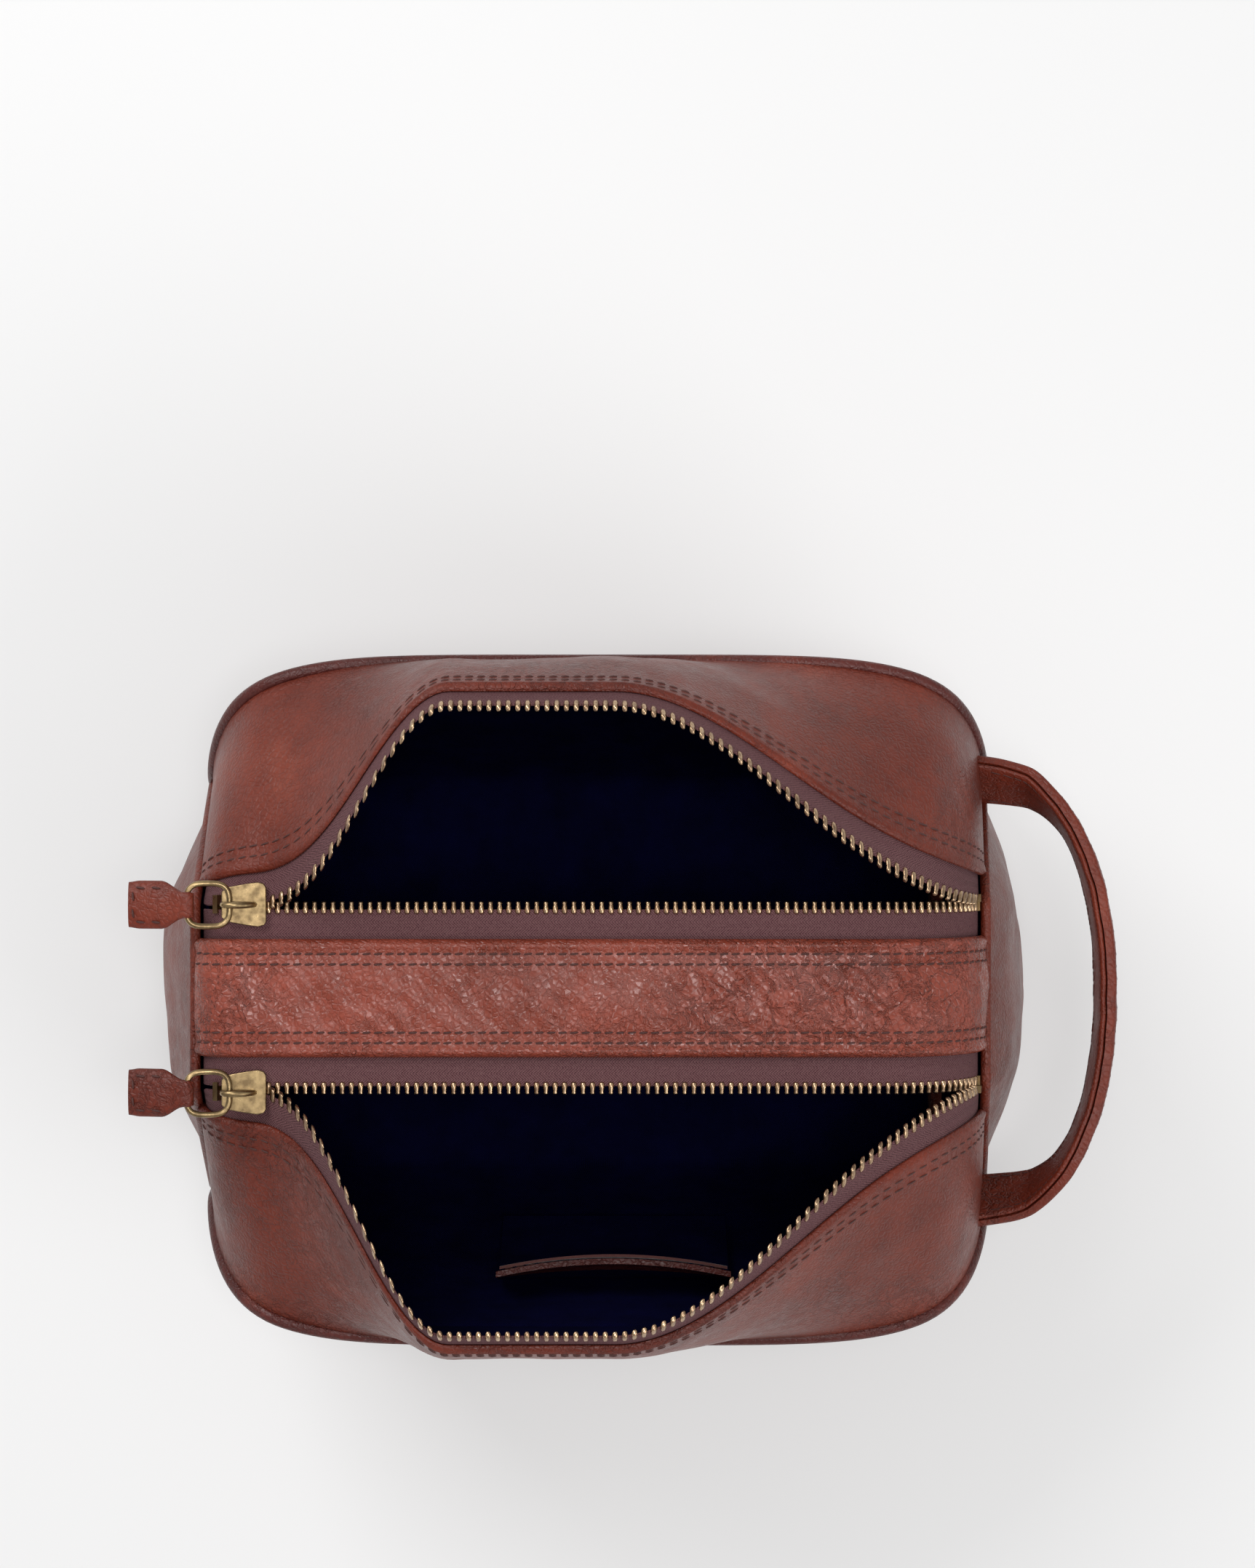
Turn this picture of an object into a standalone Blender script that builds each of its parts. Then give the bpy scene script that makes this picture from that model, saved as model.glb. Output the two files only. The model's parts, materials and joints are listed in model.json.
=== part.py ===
"""Shaving kit bag: a soft leather wash bag with two zipped compartments and a carry strap at one end.

Frame: metres. The origin is the centre of the base's underside, +Z is up, +X points to the carry strap's
end and +Y to the back. The bag is modelled with both zips open. Every soft sheet is a closed slab between
two grids of points, and every cord is a swept tube.
"""

import math

import bmesh
import bpy
from mathutils import Matrix, Vector

# Overall form
BAG_HEIGHT = 0.150
HALF_LENGTH = 0.113  # half length of the plan outline
SIDE_X = 0.111  # where the front and back panels turn into the ends
PIPING_HEIGHT = 0.118
CORNER_Z = 0.080  # height where the piping's rounded corner ends
CORNER_X = 0.088  # where the piping's rounded corner starts
BASE_HALF_WIDTH = 0.062
FRONT_HALF_WIDTH = 0.097
BACK_HALF_WIDTH = 0.092
END_BULGE = 0.0165  # the end panels swell outwards by this much at mid height
END_HALF_WIDTH = 0.0600  # from the centre plane to where the end seam meets the piping

# Crown: the flat top turns down at both ends by this angle
LEFT_RADIUS = 0.010
LEFT_STRAIGHT = -0.099
RIGHT_RADIUS = 0.030
RIGHT_STRAIGHT = 0.078
TURN = math.radians(80)

# Sheets
LEATHER = 0.0016
TAPE = 0.0008
FABRIC = 0.0008
GAP = 0.0003

# Zips: distances are across the zip, from its centre line
ZIP_Y = 0.0253
TEETH_START = -0.101
TOOTH_PITCH = 0.0025
TOOTH_WIDTH = 0.0011
TOOTH_TIP = -0.0002  # short of the centre line, so that the two rows stay clear where they meet
TOOTH_ROOT = 0.0016
CORD_BACK = 0.0025
TOOTH_HEIGHT = 0.0022
TAPE_EDGE = 0.0028
LEATHER_EDGE = 0.0093  # where the leather's folded edge covers the tape
TAPE_HIDDEN = 0.0122  # the tape ends here, under the leather
ZIP_DEPTH = 0.00235  # from the crown surface to the zip's mid-plane
STOP_HEIGHT = 0.0026
STRIP_HALF_WIDTH = 0.0160  # of the leather strip between the two zips

# Flaps: the leather between the outer zip tape and the piping
FRONT_OPEN = math.radians(58)
BACK_OPEN = math.radians(55)
HINGE_INSET = 0.002
HINGE_Z = 0.117
LEFT_FADE = (-0.0925, -0.038)  # x from where the left part of a flap stays shut to where it is fully open
RIGHT_FADE = (0.118, 0.005)
FLAP_CROWN = 0.005
CROWN_FADE = 0.030  # the flap flattens towards the end seams over this distance
FLAP_START = -0.0868  # the outer row leaves the slider here

# Slider, ring and tab
SLIDER_X = (-0.1009, -0.0889)
SLIDER_WIDTH = 0.012
PLATE = 0.0012
CHANNEL = 0.00145
WIRE = 0.0007
RING_LENGTH = 0.0130
RING_WIDTH = 0.0130
RING_SQUARE = 0.5  # 1 is an ellipse, and less is squarer
RING_PIVOT = Vector((-0.0985, 0, 0.1521))
RING_RISE = math.radians(8)
TAB_LENGTH = 0.0160
TAB_WIDTH = 0.0130
TAB_THICKNESS = 0.0026
TAB_WAIST = 0.52  # share of its width where it passes through the ring
TAB_DROOP = math.radians(8)

# Carry strap
STRAP_PIVOT = Vector((0.112, 0, 0.104))
STRAP_REACH = 0.0345
STRAP_HALF_SPAN = 0.0670
STRAP_HEIGHT = 0.018
STRAP_POWER = 2.2
STRAP_SHARE = 0.88  # share of the strap's curve that the layers cover, short of its sewn ends
STRAP_LAYERS = (
    ("strap_outer", 0.0, 0.0020, "leather"),
    ("strap_core", 0.0023, 0.0039, "stiffener"),
    ("strap_inner", 0.0042, 0.0054, "leather"),
)

# Lining
LINING_REACH = 0.1010
LINING_LOOSE = 0.0016  # the lining hangs this far inside the leather

# Pocket
POCKET_X = (-0.029, 0.038)
POCKET_Z = (0.040, 0.092)

FRONT, BACK = -1, 1
HALF_WIDTH = {FRONT: FRONT_HALF_WIDTH, BACK: BACK_HALF_WIDTH}
OPENING = {FRONT: FRONT_OPEN, BACK: BACK_OPEN}
SIDE_NAME = {FRONT: "front", BACK: "back"}

MATERIALS = {
    "leather": ((0.19, 0.050, 0.028), 0.45, 0.0),
    "piping_leather": ((0.09, 0.026, 0.020), 0.40, 0.0),
    "tape_fabric": ((0.10, 0.040, 0.038), 0.85, 0.0),
    "zip_brass": ((0.46, 0.31, 0.14), 0.35, 1.0),
    "lining_fabric": ((0.004, 0.004, 0.030), 0.80, 0.0),
    "stiffener": ((0.30, 0.26, 0.20), 0.90, 0.0),
}


def material(name):
    """The named Principled material, made once."""
    found = bpy.data.materials.get(name)
    if found:
        return found
    colour, roughness, metallic = MATERIALS[name]
    made = bpy.data.materials.new(name)
    made.use_nodes = True
    shader = made.node_tree.nodes["Principled BSDF"]
    shader.inputs["Base Color"].default_value = (*colour, 1.0)
    shader.inputs["Roughness"].default_value = roughness
    shader.inputs["Metallic"].default_value = metallic
    made.diffuse_color = (*colour, 1.0)
    return made


def add_object(name, mesh_data, material_name, origin=None):
    """Links a bmesh as a named object, faces out, with its origin at a joint when one is given."""
    bmesh.ops.recalc_face_normals(mesh_data, faces=mesh_data.faces)
    if origin is not None:
        bmesh.ops.translate(mesh_data, vec=-Vector(origin), verts=mesh_data.verts)
    mesh = bpy.data.meshes.new(name)
    mesh_data.to_mesh(mesh)
    mesh_data.free()
    mesh.materials.append(material(material_name))
    mesh.shade_smooth()
    mesh.set_sharp_from_angle(angle=math.radians(40))
    made = bpy.data.objects.new(name, mesh)
    if origin is not None:
        made.location = origin
    bpy.context.scene.collection.objects.link(made)
    return made


def slab(name, outer, inner, material_name, origin=None):
    """A closed sheet between two grids of points with the same rows and columns."""
    bm = bmesh.new()
    rows, columns = len(outer), len(outer[0])
    top = [[bm.verts.new(p) for p in row] for row in outer]
    low = [[bm.verts.new(p) for p in row] for row in inner]
    for i in range(rows - 1):
        for j in range(columns - 1):
            bm.faces.new((top[i][j], top[i][j + 1], top[i + 1][j + 1], top[i + 1][j]))
            bm.faces.new((low[i][j], low[i + 1][j], low[i + 1][j + 1], low[i][j + 1]))
    for i in range(rows - 1):
        for j in (0, columns - 1):
            bm.faces.new((top[i][j], top[i + 1][j], low[i + 1][j], low[i][j]))
    for j in range(columns - 1):
        for i in (0, rows - 1):
            bm.faces.new((top[i][j], top[i][j + 1], low[i][j + 1], low[i][j]))
    return add_object(name, bm, material_name, origin)


def tube(name, path, radius, sides, material_name, closed=False, origin=None):
    """A round cord along a path of points, with flat ends unless the path is closed."""
    bm = bmesh.new()
    count = len(path)
    rings = []
    side = None
    for i, centre in enumerate(path):
        before = path[i - 1] if i > 0 or closed else path[i]
        after = path[(i + 1) % count] if i < count - 1 or closed else path[i]
        along = (after - before).normalized()
        if side is None:
            side = along.orthogonal().normalized()
        side = (side - along * side.dot(along)).normalized()
        up = along.cross(side)
        ring = []
        for k in range(sides):
            turn = 2 * math.pi * k / sides
            ring.append(bm.verts.new(centre + (side * math.cos(turn) + up * math.sin(turn)) * radius))
        rings.append(ring)
    for i in range(count if closed else count - 1):
        a, b = rings[i], rings[(i + 1) % count]
        shift = 0
        if closed and i == count - 1:
            shift = min(range(sides), key=lambda s: (a[0].co - b[s].co).length)
        for k in range(sides):
            m, n = (k + shift) % sides, (k + 1 + shift) % sides
            bm.faces.new((a[k], a[(k + 1) % sides], b[n], b[m]))
    if not closed:
        bm.faces.new(rings[0][::-1])
        bm.faces.new(rings[-1])
    return add_object(name, bm, material_name, origin)


def spread(low, high, count):
    """Evenly spaced numbers from low to high."""
    return [low + (high - low) * i / (count - 1) for i in range(count)]


def spread_to_ends(low, high, count):
    """Numbers from low to high, closer together near both ends."""
    middle, half = (low + high) / 2, (high - low) / 2
    return [middle + half * math.sin(t * math.pi / 2) for t in spread(-1, 1, count)]


def ease(t):
    """A smooth step from 0 to 1."""
    t = max(0.0, min(1.0, t))
    return t * t * (3 - 2 * t)


# The crown's profile in XZ, measured along the surface from x = 0

LEFT_END = LEFT_STRAIGHT - LEFT_RADIUS * TURN
RIGHT_END = RIGHT_STRAIGHT + RIGHT_RADIUS * TURN


def crown(s, depth=0.0):
    """(x, z) on the crown at distance s along it, at a depth below its surface."""
    if s < LEFT_STRAIGHT:
        turn = (LEFT_STRAIGHT - s) / LEFT_RADIUS
        reach = LEFT_RADIUS - depth
        return LEFT_STRAIGHT - reach * math.sin(turn), BAG_HEIGHT - LEFT_RADIUS + reach * math.cos(turn)
    if s > RIGHT_STRAIGHT:
        turn = (s - RIGHT_STRAIGHT) / RIGHT_RADIUS
        reach = RIGHT_RADIUS - depth
        return RIGHT_STRAIGHT + reach * math.sin(turn), BAG_HEIGHT - RIGHT_RADIUS + reach * math.cos(turn)
    return s, BAG_HEIGHT - depth


def crown_point(s, y, depth=0.0):
    x, z = crown(s, depth)
    return Vector((x, y, z))


def crown_height(x):
    """Height of the crown above a place in plan."""
    if x < LEFT_STRAIGHT:
        share = min(0.98, (LEFT_STRAIGHT - x) / LEFT_RADIUS)
        return BAG_HEIGHT - LEFT_RADIUS * (1 - math.sqrt(1 - share**2))
    if x > RIGHT_STRAIGHT:
        share = min(0.98, (x - RIGHT_STRAIGHT) / RIGHT_RADIUS)
        return BAG_HEIGHT - RIGHT_RADIUS * (1 - math.sqrt(1 - share**2))
    return BAG_HEIGHT


def crown_stations(start, end, middle=8, corner=7):
    """Places along the crown, closer together where it bends."""
    knots = [start] + [k for k in (LEFT_STRAIGHT, FLAP_START, RIGHT_STRAIGHT) if start < k < end] + [end]
    places = [start]
    for low, high in zip(knots, knots[1:]):
        straight = low >= FLAP_START and high <= RIGHT_STRAIGHT
        places += spread(low, high, (middle if straight else corner) + 1)[1:]
    return places


def crown_band(
    name, y_low, y_high, depth, thickness, material_name, start=LEFT_END, end=RIGHT_END, rise=0.0
):
    """A sheet that follows the crown between two distances from the bag's centre plane."""
    columns = spread(y_low, y_high, 5)
    half = (y_high - y_low) / 2
    middle = (y_high + y_low) / 2
    places = crown_stations(start, end)
    lift = [rise * (1 - ((y - middle) / half) ** 2) for y in columns]
    outer = [[crown_point(s, y, depth - k) for y, k in zip(columns, lift)] for s in places]
    inner = [[crown_point(s, y, depth + thickness - k) for y, k in zip(columns, lift)] for s in places]
    return slab(name, outer, inner, material_name)


# The body's walls


def outline(x, half_width, power):
    """Half width of a rounded plan outline at x."""
    share = min(0.9999, abs(x) / HALF_LENGTH)
    return half_width * (1 - share**power) ** (1 / power)


def piping_height(x, inset=0.0):
    """Height of the piping over the front or back panel, or of a line a distance inside it."""
    over = max(0.0, abs(x) - CORNER_X) / (SIDE_X - inset - CORNER_X)
    return CORNER_Z + (PIPING_HEIGHT - inset - CORNER_Z) * math.sqrt(max(0.0, 1 - over**2))


def wall_y(x, z, side):
    """Distance of the front or back wall from the centre plane."""
    low = outline(x, BASE_HALF_WIDTH, 8)
    high = outline(x, HALF_WIDTH[side], 5.5)
    share = math.sin(math.pi / 2 * min(1.0, z / PIPING_HEIGHT))
    return low + (high - low) * share


def wall_sheet(
    name, side, inset, thickness, material_name, x_range, z_low, top_drop, columns=21, rows=8, z_top=None
):
    """A sheet that follows the front or back wall, a distance inside its outer surface."""
    outer, inner = [], []
    for v in spread(0, 1, rows):
        row_out, row_in = [], []
        for x in spread_to_ends(*x_range, columns):
            top = piping_height(x, top_drop) if z_top is None else z_top
            z = z_low + (top - z_low) * v
            y = wall_y(x, z, side) - inset
            row_out.append(Vector((x, side * y, z)))
            row_in.append(Vector((x, side * (y - thickness), z)))
        outer.append(row_out)
        inner.append(row_in)
    return slab(name, outer, inner, material_name)


def piping_path(side):
    """The closed loop of piping round the front or back panel."""
    bottom = 0.0032
    top = []
    for t in spread(-1, 1, 29):
        x = SIDE_X * math.sin(t * math.pi / 2)
        z = piping_height(x)
        top.append(Vector((x, side * wall_y(x, z, side), z)))
    right = [Vector((SIDE_X, side * wall_y(SIDE_X, z, side), z)) for z in spread(CORNER_Z, 0.0055, 6)[1:]]
    low = [
        Vector((x, side * outline(x, BASE_HALF_WIDTH, 8), bottom))
        for x in spread_to_ends(SIDE_X * 0.985, -SIDE_X * 0.985, 13)
    ]
    left = [Vector((-p.x, p.y, p.z)) for p in right[::-1]]
    return top + right + low + left


def beyond_zip(y):
    """Share of the way from the zip to the bag's corner."""
    return min(1.0, max(0.0, abs(y) - ZIP_Y) / (END_HALF_WIDTH - ZIP_Y))


def seam_height(y, end, inset=0.0):
    """Height of the end seam, or of a line inside it. It is level between the zips, then slopes down."""
    top = crown(LEFT_END if end < 0 else RIGHT_END)[1]
    slope = (top - CORNER_Z) / (END_HALF_WIDTH - ZIP_Y)
    slanted = top - (top - CORNER_Z) * beyond_zip(y) - inset * math.sqrt(1 + slope**2)
    return min(top - inset, slanted) if abs(y) > ZIP_Y else top - inset


def end_x(y, z, end):
    """Outer face of the end panel."""
    share = min(1.0, max(0.0, z / seam_height(y, end)))
    crown_x = abs(crown(LEFT_END if end < 0 else RIGHT_END)[0])
    seam_x = crown_x + (SIDE_X - crown_x) * beyond_zip(y)
    base = SIDE_X - 0.001 + (seam_x - SIDE_X + 0.001) * share**3
    return base + END_BULGE * math.sin(math.pi * share) * (1 - (y / (END_HALF_WIDTH + 0.0015)) ** 2)


def end_half(z, margin):
    """Half width of the end panel at a height, a margin inside the piping."""
    return wall_y(SIDE_X, min(z, CORNER_Z), BACK) - margin


def end_sheet(name, end, inset, thickness, material_name, margin, z_low, top_drop):
    """A sheet that follows an end panel, a distance inside its outer surface."""
    outer, inner = [], []
    for v in spread(0, 1, 8):
        row_out, row_in = [], []
        for share in spread(-1, 1, 9):
            y = share * end_half(CORNER_Z * v, margin)
            z = z_low + (seam_height(y, end, top_drop) - z_low) * v
            x = end_x(y, z, end) - inset
            row_out.append(Vector((end * x, y, z)))
            row_in.append(Vector((end * (x - thickness), y, z)))
        outer.append(row_out)
        inner.append(row_in)
    return slab(name, outer, inner, material_name)


# The flaps


def opening_share(x):
    """How far the flap is open at x, from 0 at the ends to 1 in the middle."""
    low, high = LEFT_FADE if x < 0 else RIGHT_FADE
    return ease((x - low) / (high - low))


def hinge_point(side):
    return Vector((0, side * (HALF_WIDTH[side] - HINGE_INSET), HINGE_Z))


def open_out(point, side):
    """Turns a point of the closed flap about its hinge to where it rests when the zip is open."""
    pivot = hinge_point(side)
    turn = Matrix.Rotation(-side * opening_share(point.x) * OPENING[side], 3, "X")
    return pivot + turn @ (point - pivot)


def flap_edge(s, side):
    """The flap's edge at the piping, opposite a place on the zip."""
    x = max(-SIDE_X, min(SIDE_X, crown(s)[0] * SIDE_X / 0.1088))
    z = piping_height(x)
    return Vector((x, side * wall_y(x, z, side), z))


def flap_point(s, across, depth, side):
    """A point on the open flap, a distance across from the zip's centre line and a depth below its face."""
    start = crown_point(s, side * ZIP_Y)
    edge = flap_edge(s, side)
    chord = edge - start
    width = chord.length
    along = (crown_point(s + 0.001, 0) - crown_point(s - 0.001, 0)).normalized()
    out = along.cross(chord).normalized() * side
    if out.z < 0 and abs(out.x) < 0.5:
        out = -out
    share = across / width
    taper = ease(min(s - LEFT_END, RIGHT_END - s) / CROWN_FADE)
    crown_rise = FLAP_CROWN * taper * 4 * share * (1 - share)
    point = start + chord * share + out * (crown_rise - depth)
    opened = open_out(point, side)
    slip = edge - open_out(edge, side)
    return opened + slip * max(0.0, min(1.0, share)) ** 4


def flap_band(
    name, side, across_low, across_high, depth, thickness, material_name, start, end, columns, from_edge=False
):
    """A sheet on the flap, from one distance across the zip to another, or to a distance from the piping."""
    outer, inner = [], []
    for s in crown_stations(start, end, middle=16, corner=4):
        width = (flap_edge(s, side) - crown_point(s, side * ZIP_Y)).length
        high = width - across_high if from_edge else across_high
        row = spread(across_low, high, columns)
        outer.append([flap_point(s, a, depth, side) for a in row])
        inner.append([flap_point(s, a, depth + thickness, side) for a in row])
    return slab(name, outer, inner, material_name)


# The zips


def comb(name, place, first, last, phase):
    """One row of zip teeth on its cord. place(s, across, depth) gives a point beside the zip's centre line."""
    bm = bmesh.new()
    count = int((last - first) / TOOTH_PITCH)
    half = TOOTH_HEIGHT / 2
    rows = []
    for k in range(count + 1):
        s = first + (k + phase) * TOOTH_PITCH
        cut = s + TOOTH_WIDTH
        spots = [(s, CORD_BACK), (s, TOOTH_ROOT), (s, -TOOTH_TIP), (cut, -TOOTH_TIP), (cut, TOOTH_ROOT)]
        top = [bm.verts.new(place(a, b, -half)) for a, b in spots]
        low = [bm.verts.new(place(a, b, half)) for a, b in spots]
        rows.append((top, low))
    for k in range(count):
        (top, low), (top_next, low_next) = rows[k], rows[k + 1]
        bm.faces.new([*top, top_next[1], top_next[0]])
        bm.faces.new([*low, low_next[1], low_next[0]][::-1])
        bm.faces.new((top[0], top_next[0], low_next[0], low[0]))
        bm.faces.new((top[4], low[4], low_next[1], top_next[1]))
        for a, b in ((1, 2), (2, 3), (3, 4)):
            bm.faces.new((top[a], low[a], low[b], top[b]))
    first_top, first_low = rows[0]
    last_top, last_low = rows[-1]
    bm.faces.new((first_top[0], first_low[0], first_low[1], first_top[1]))
    bm.faces.new((last_top[0], last_top[1], last_low[1], last_low[0]))
    extra = [last_top[2], last_top[3], last_top[4], last_low[2], last_low[3], last_low[4]]
    for vert in extra:
        bm.verts.remove(vert)
    return add_object(name, bm, "zip_brass")


def block(name, place, s_range, across_range, height):
    """A small crimped stop on the zip."""
    outer = [[place(s, a, -height / 2) for a in across_range] for s in s_range]
    inner = [[place(s, a, height / 2) for a in across_range] for s in s_range]
    return slab(name, outer, inner, "zip_brass")


def inner_place(side):
    """Places a point on the fixed side of the zip. Positive across runs towards the centre strip."""
    return lambda s, across, depth: crown_point(s, side * (ZIP_Y - across), ZIP_DEPTH + depth)


def outer_place(side):
    """Places a point on the flap's side of the zip. Positive across runs towards the piping."""
    return lambda s, across, depth: flap_point(s, across, ZIP_DEPTH + depth, side)


def box_mesh(low, high):
    """A bmesh box between two corners."""
    bm = bmesh.new()
    bmesh.ops.create_cube(bm, size=1)
    low, high = Vector(low), Vector(high)
    for vert in bm.verts:
        vert.co = Vector([(low[i] + high[i]) / 2 + vert.co[i] * (high[i] - low[i]) for i in range(3)])
    return bm


def make_slider(side):
    """The slider: two plates with side lips, joined by the post that parts the teeth."""
    name = SIDE_NAME[side]
    y_mid = side * ZIP_Y
    z_mid = BAG_HEIGHT - ZIP_DEPTH
    half = SLIDER_WIDTH / 2
    low_x, high_x = SLIDER_X
    shapes = []
    for up in (-1, 1):
        inner, outer = z_mid + up * CHANNEL, z_mid + up * (CHANNEL + PLATE)
        shapes.append(((low_x, y_mid - half, min(inner, outer)), (high_x, y_mid + half, max(inner, outer))))
        lip = z_mid + up * 0.0008
        mid_plate = z_mid + up * (CHANNEL + PLATE / 2)
        for edge in (-1, 1):
            y_out = y_mid + edge * half
            y_in = y_out - edge * 0.0008
            shapes.append(
                (
                    (low_x + 0.0004, min(y_out, y_in), min(lip, mid_plate)),
                    (high_x - 0.0004, max(y_out, y_in), max(lip, mid_plate)),
                )
            )
    post = sorted((y_mid + side * 0.0011, y_mid + side * 0.0033))
    reach = CHANNEL + 0.0005
    shapes.append(((high_x - 0.0027, post[0], z_mid - reach), (high_x - 0.0004, post[1], z_mid + reach)))
    pivot = Vector((sum(SLIDER_X) / 2, y_mid, z_mid))
    first = add_object(f"{name}_slider", box_mesh(*shapes[0]), "zip_brass", pivot)
    for number, shape in enumerate(shapes[1:]):
        piece = add_object(f"{name}_slider_join_{number}", box_mesh(*shape), "zip_brass")
        piece.hide_render = True
        piece.display_type = "WIRE"
        union = first.modifiers.new(f"join_{number}", "BOOLEAN")
        union.operation = "UNION"
        union.object = piece
    edge = first.modifiers.new("soft_edges", "BEVEL")
    edge.width = 0.0002
    edge.segments = 1
    return first


def make_bail(side):
    """The arch on the slider that holds the pull ring."""
    y = side * ZIP_Y
    foot = BAG_HEIGHT - ZIP_DEPTH + CHANNEL + PLATE + GAP + WIRE * 0.2
    low, high = RING_PIVOT.x - 0.0022, SLIDER_X[1] - 0.0030
    top = RING_PIVOT.z + 0.0022
    path = [Vector((low, y, foot)), Vector((low, y, top - 0.0010)), Vector((low + 0.0010, y, top))]
    path += [Vector((low + 0.0035, y, top + 0.0002)), Vector((high - 0.0014, y, foot + 0.0020))]
    path += [Vector((high, y, foot + 0.0010)), Vector((high, y, foot))]
    return tube(f"{SIDE_NAME[side]}_bail", path, 0.0008, 6, "zip_brass")


def ring_direction():
    return Vector((-math.cos(RING_RISE), 0, math.sin(RING_RISE)))


def make_ring(side):
    """The oval wire ring, hinged on its near bar inside the bail."""
    pivot = Vector((RING_PIVOT.x, side * ZIP_Y, RING_PIVOT.z))
    reach = RING_LENGTH - 2 * WIRE
    half_width = RING_WIDTH / 2 - WIRE
    path = []
    for k in range(16):
        turn = 2 * math.pi * k / 16
        across = math.copysign(abs(math.sin(turn)) ** RING_SQUARE, math.sin(turn)) * half_width
        along = reach / 2 * (1 - math.copysign(abs(math.cos(turn)) ** RING_SQUARE, math.cos(turn)))
        path.append(pivot + ring_direction() * along + Vector((0, across, 0)))
    return tube(f"{SIDE_NAME[side]}_pull_ring", path, WIRE, 6, "zip_brass", closed=True, origin=pivot)


def tab_pivot(side):
    far = Vector((RING_PIVOT.x, side * ZIP_Y, RING_PIVOT.z)) + ring_direction() * (RING_LENGTH - 2 * WIRE)
    return far


def make_tab(side):
    """The folded leather tab: a strap wrapped round the ring's far bar, its two layers pressed together."""
    pivot = tab_pivot(side)
    hole = WIRE + GAP
    skin = TAB_THICKNESS / 2 - 0.0001
    loop = []
    for k in range(9):
        turn = -math.pi / 2 + math.pi * k / 8
        loop.append((math.cos(turn), math.sin(turn)))
    outer, inner = [], []
    flat = (-0.0045, -TAB_LENGTH)
    for y in spread(-TAB_WIDTH / 2, TAB_WIDTH / 2, 5):
        rows = []
        for skin_z, bend in ((TAB_THICKNESS / 2, hole + skin), (0.00008, hole)):
            tail = [(x, y, skin_z) for x in flat]
            lower = [(x, y, -skin_z) for x in flat[::-1]]
            rows.append(lower + [(x * bend, y * TAB_WAIST, z * bend) for x, z in loop] + tail)
        along, down = math.cos(TAB_DROOP), math.sin(TAB_DROOP)
        for row, target in zip(rows, (outer, inner)):
            target.append([pivot + Vector((x * along, w, z + x * down)) for x, w, z in row])
    return slab(f"{SIDE_NAME[side]}_pull_tab", outer, inner, "leather", origin=pivot)


def strap_point(t, inward, up):
    """A point on the carry strap: t from -1 at the front to 1 at the back, inward from its outer face."""
    turn = t * math.pi / 2
    power = 2 / STRAP_POWER
    reach = STRAP_REACH - inward
    span = STRAP_HALF_SPAN - inward
    x = STRAP_PIVOT.x + reach * abs(math.cos(turn)) ** power
    y = span * math.copysign(abs(math.sin(turn)) ** power, turn) - 0.001
    lean = math.sin(turn) ** 2 * 0.25
    return Vector((x - up * lean, y, STRAP_PIVOT.z + up))


def make_strap():
    """The carry strap's layers, from the outer leather to the inner leather."""
    for name, near, far, material_name in STRAP_LAYERS:
        turns = spread(-STRAP_SHARE, STRAP_SHARE, 21)
        levels = spread(-STRAP_HEIGHT / 2, STRAP_HEIGHT / 2, 3)
        outer = [[strap_point(t, near, up) for up in levels] for t in turns]
        inner = [[strap_point(t, far, up) for up in levels] for t in turns]
        slab(name, outer, inner, material_name, origin=STRAP_PIVOT)


def make_walls():
    """Leather panels, their piping, and the welts at the ends of the top."""
    for side in (FRONT, BACK):
        name = SIDE_NAME[side]
        reach = SIDE_X - 0.0030
        wall_sheet(f"{name}_panel", side, 0, 0.0018, "leather", (-reach, reach), 0.0068, 0.0028)
        tube(f"{name}_piping", piping_path(side), 0.0020, 6, "piping_leather", closed=True)
    for end, name in ((-1, "left"), (1, "right")):
        end_sheet(f"{name}_end_panel", end, 0, 0.0018, "leather", 0.0036, 0.0050, 0.0030)
        end_sheet(f"{name}_end_lining", end, 0.0032, FABRIC, "lining_fabric", 0.0062, 0.0062, 0.0060)
        welt = []
        for y in spread(-0.0545, 0.0545, 21):
            z = seam_height(y, end) - 0.0006
            welt.append(Vector((end * (end_x(y, z, end) + 0.0006), y, z)))
        tube(f"{name}_welt", welt, 0.0012, 6, "piping_leather")


def plan_ring(half_length, half_width, z_low, z_high, name, material_name):
    """A flat plate with a rounded plan."""
    columns = spread_to_ends(-half_length, half_length, 15)
    outer, inner = [], []
    for share in spread(-1, 1, 3):
        row_high, row_low = [], []
        for x in columns:
            y = share * half_width * (1 - min(0.97, abs(x) / half_length) ** 8) ** 0.125
            row_high.append(Vector((x, y, z_high)))
            row_low.append(Vector((x, y, z_low)))
        outer.append(row_high)
        inner.append(row_low)
    return slab(name, outer, inner, material_name)


def make_base():
    plan_ring(0.1080, BASE_HALF_WIDTH - 0.0026, 0.0, 0.0018, "base_panel", "leather")
    plan_ring(0.1035, BASE_HALF_WIDTH - 0.0070, 0.0021, 0.0037, "base_board", "stiffener")


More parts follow.
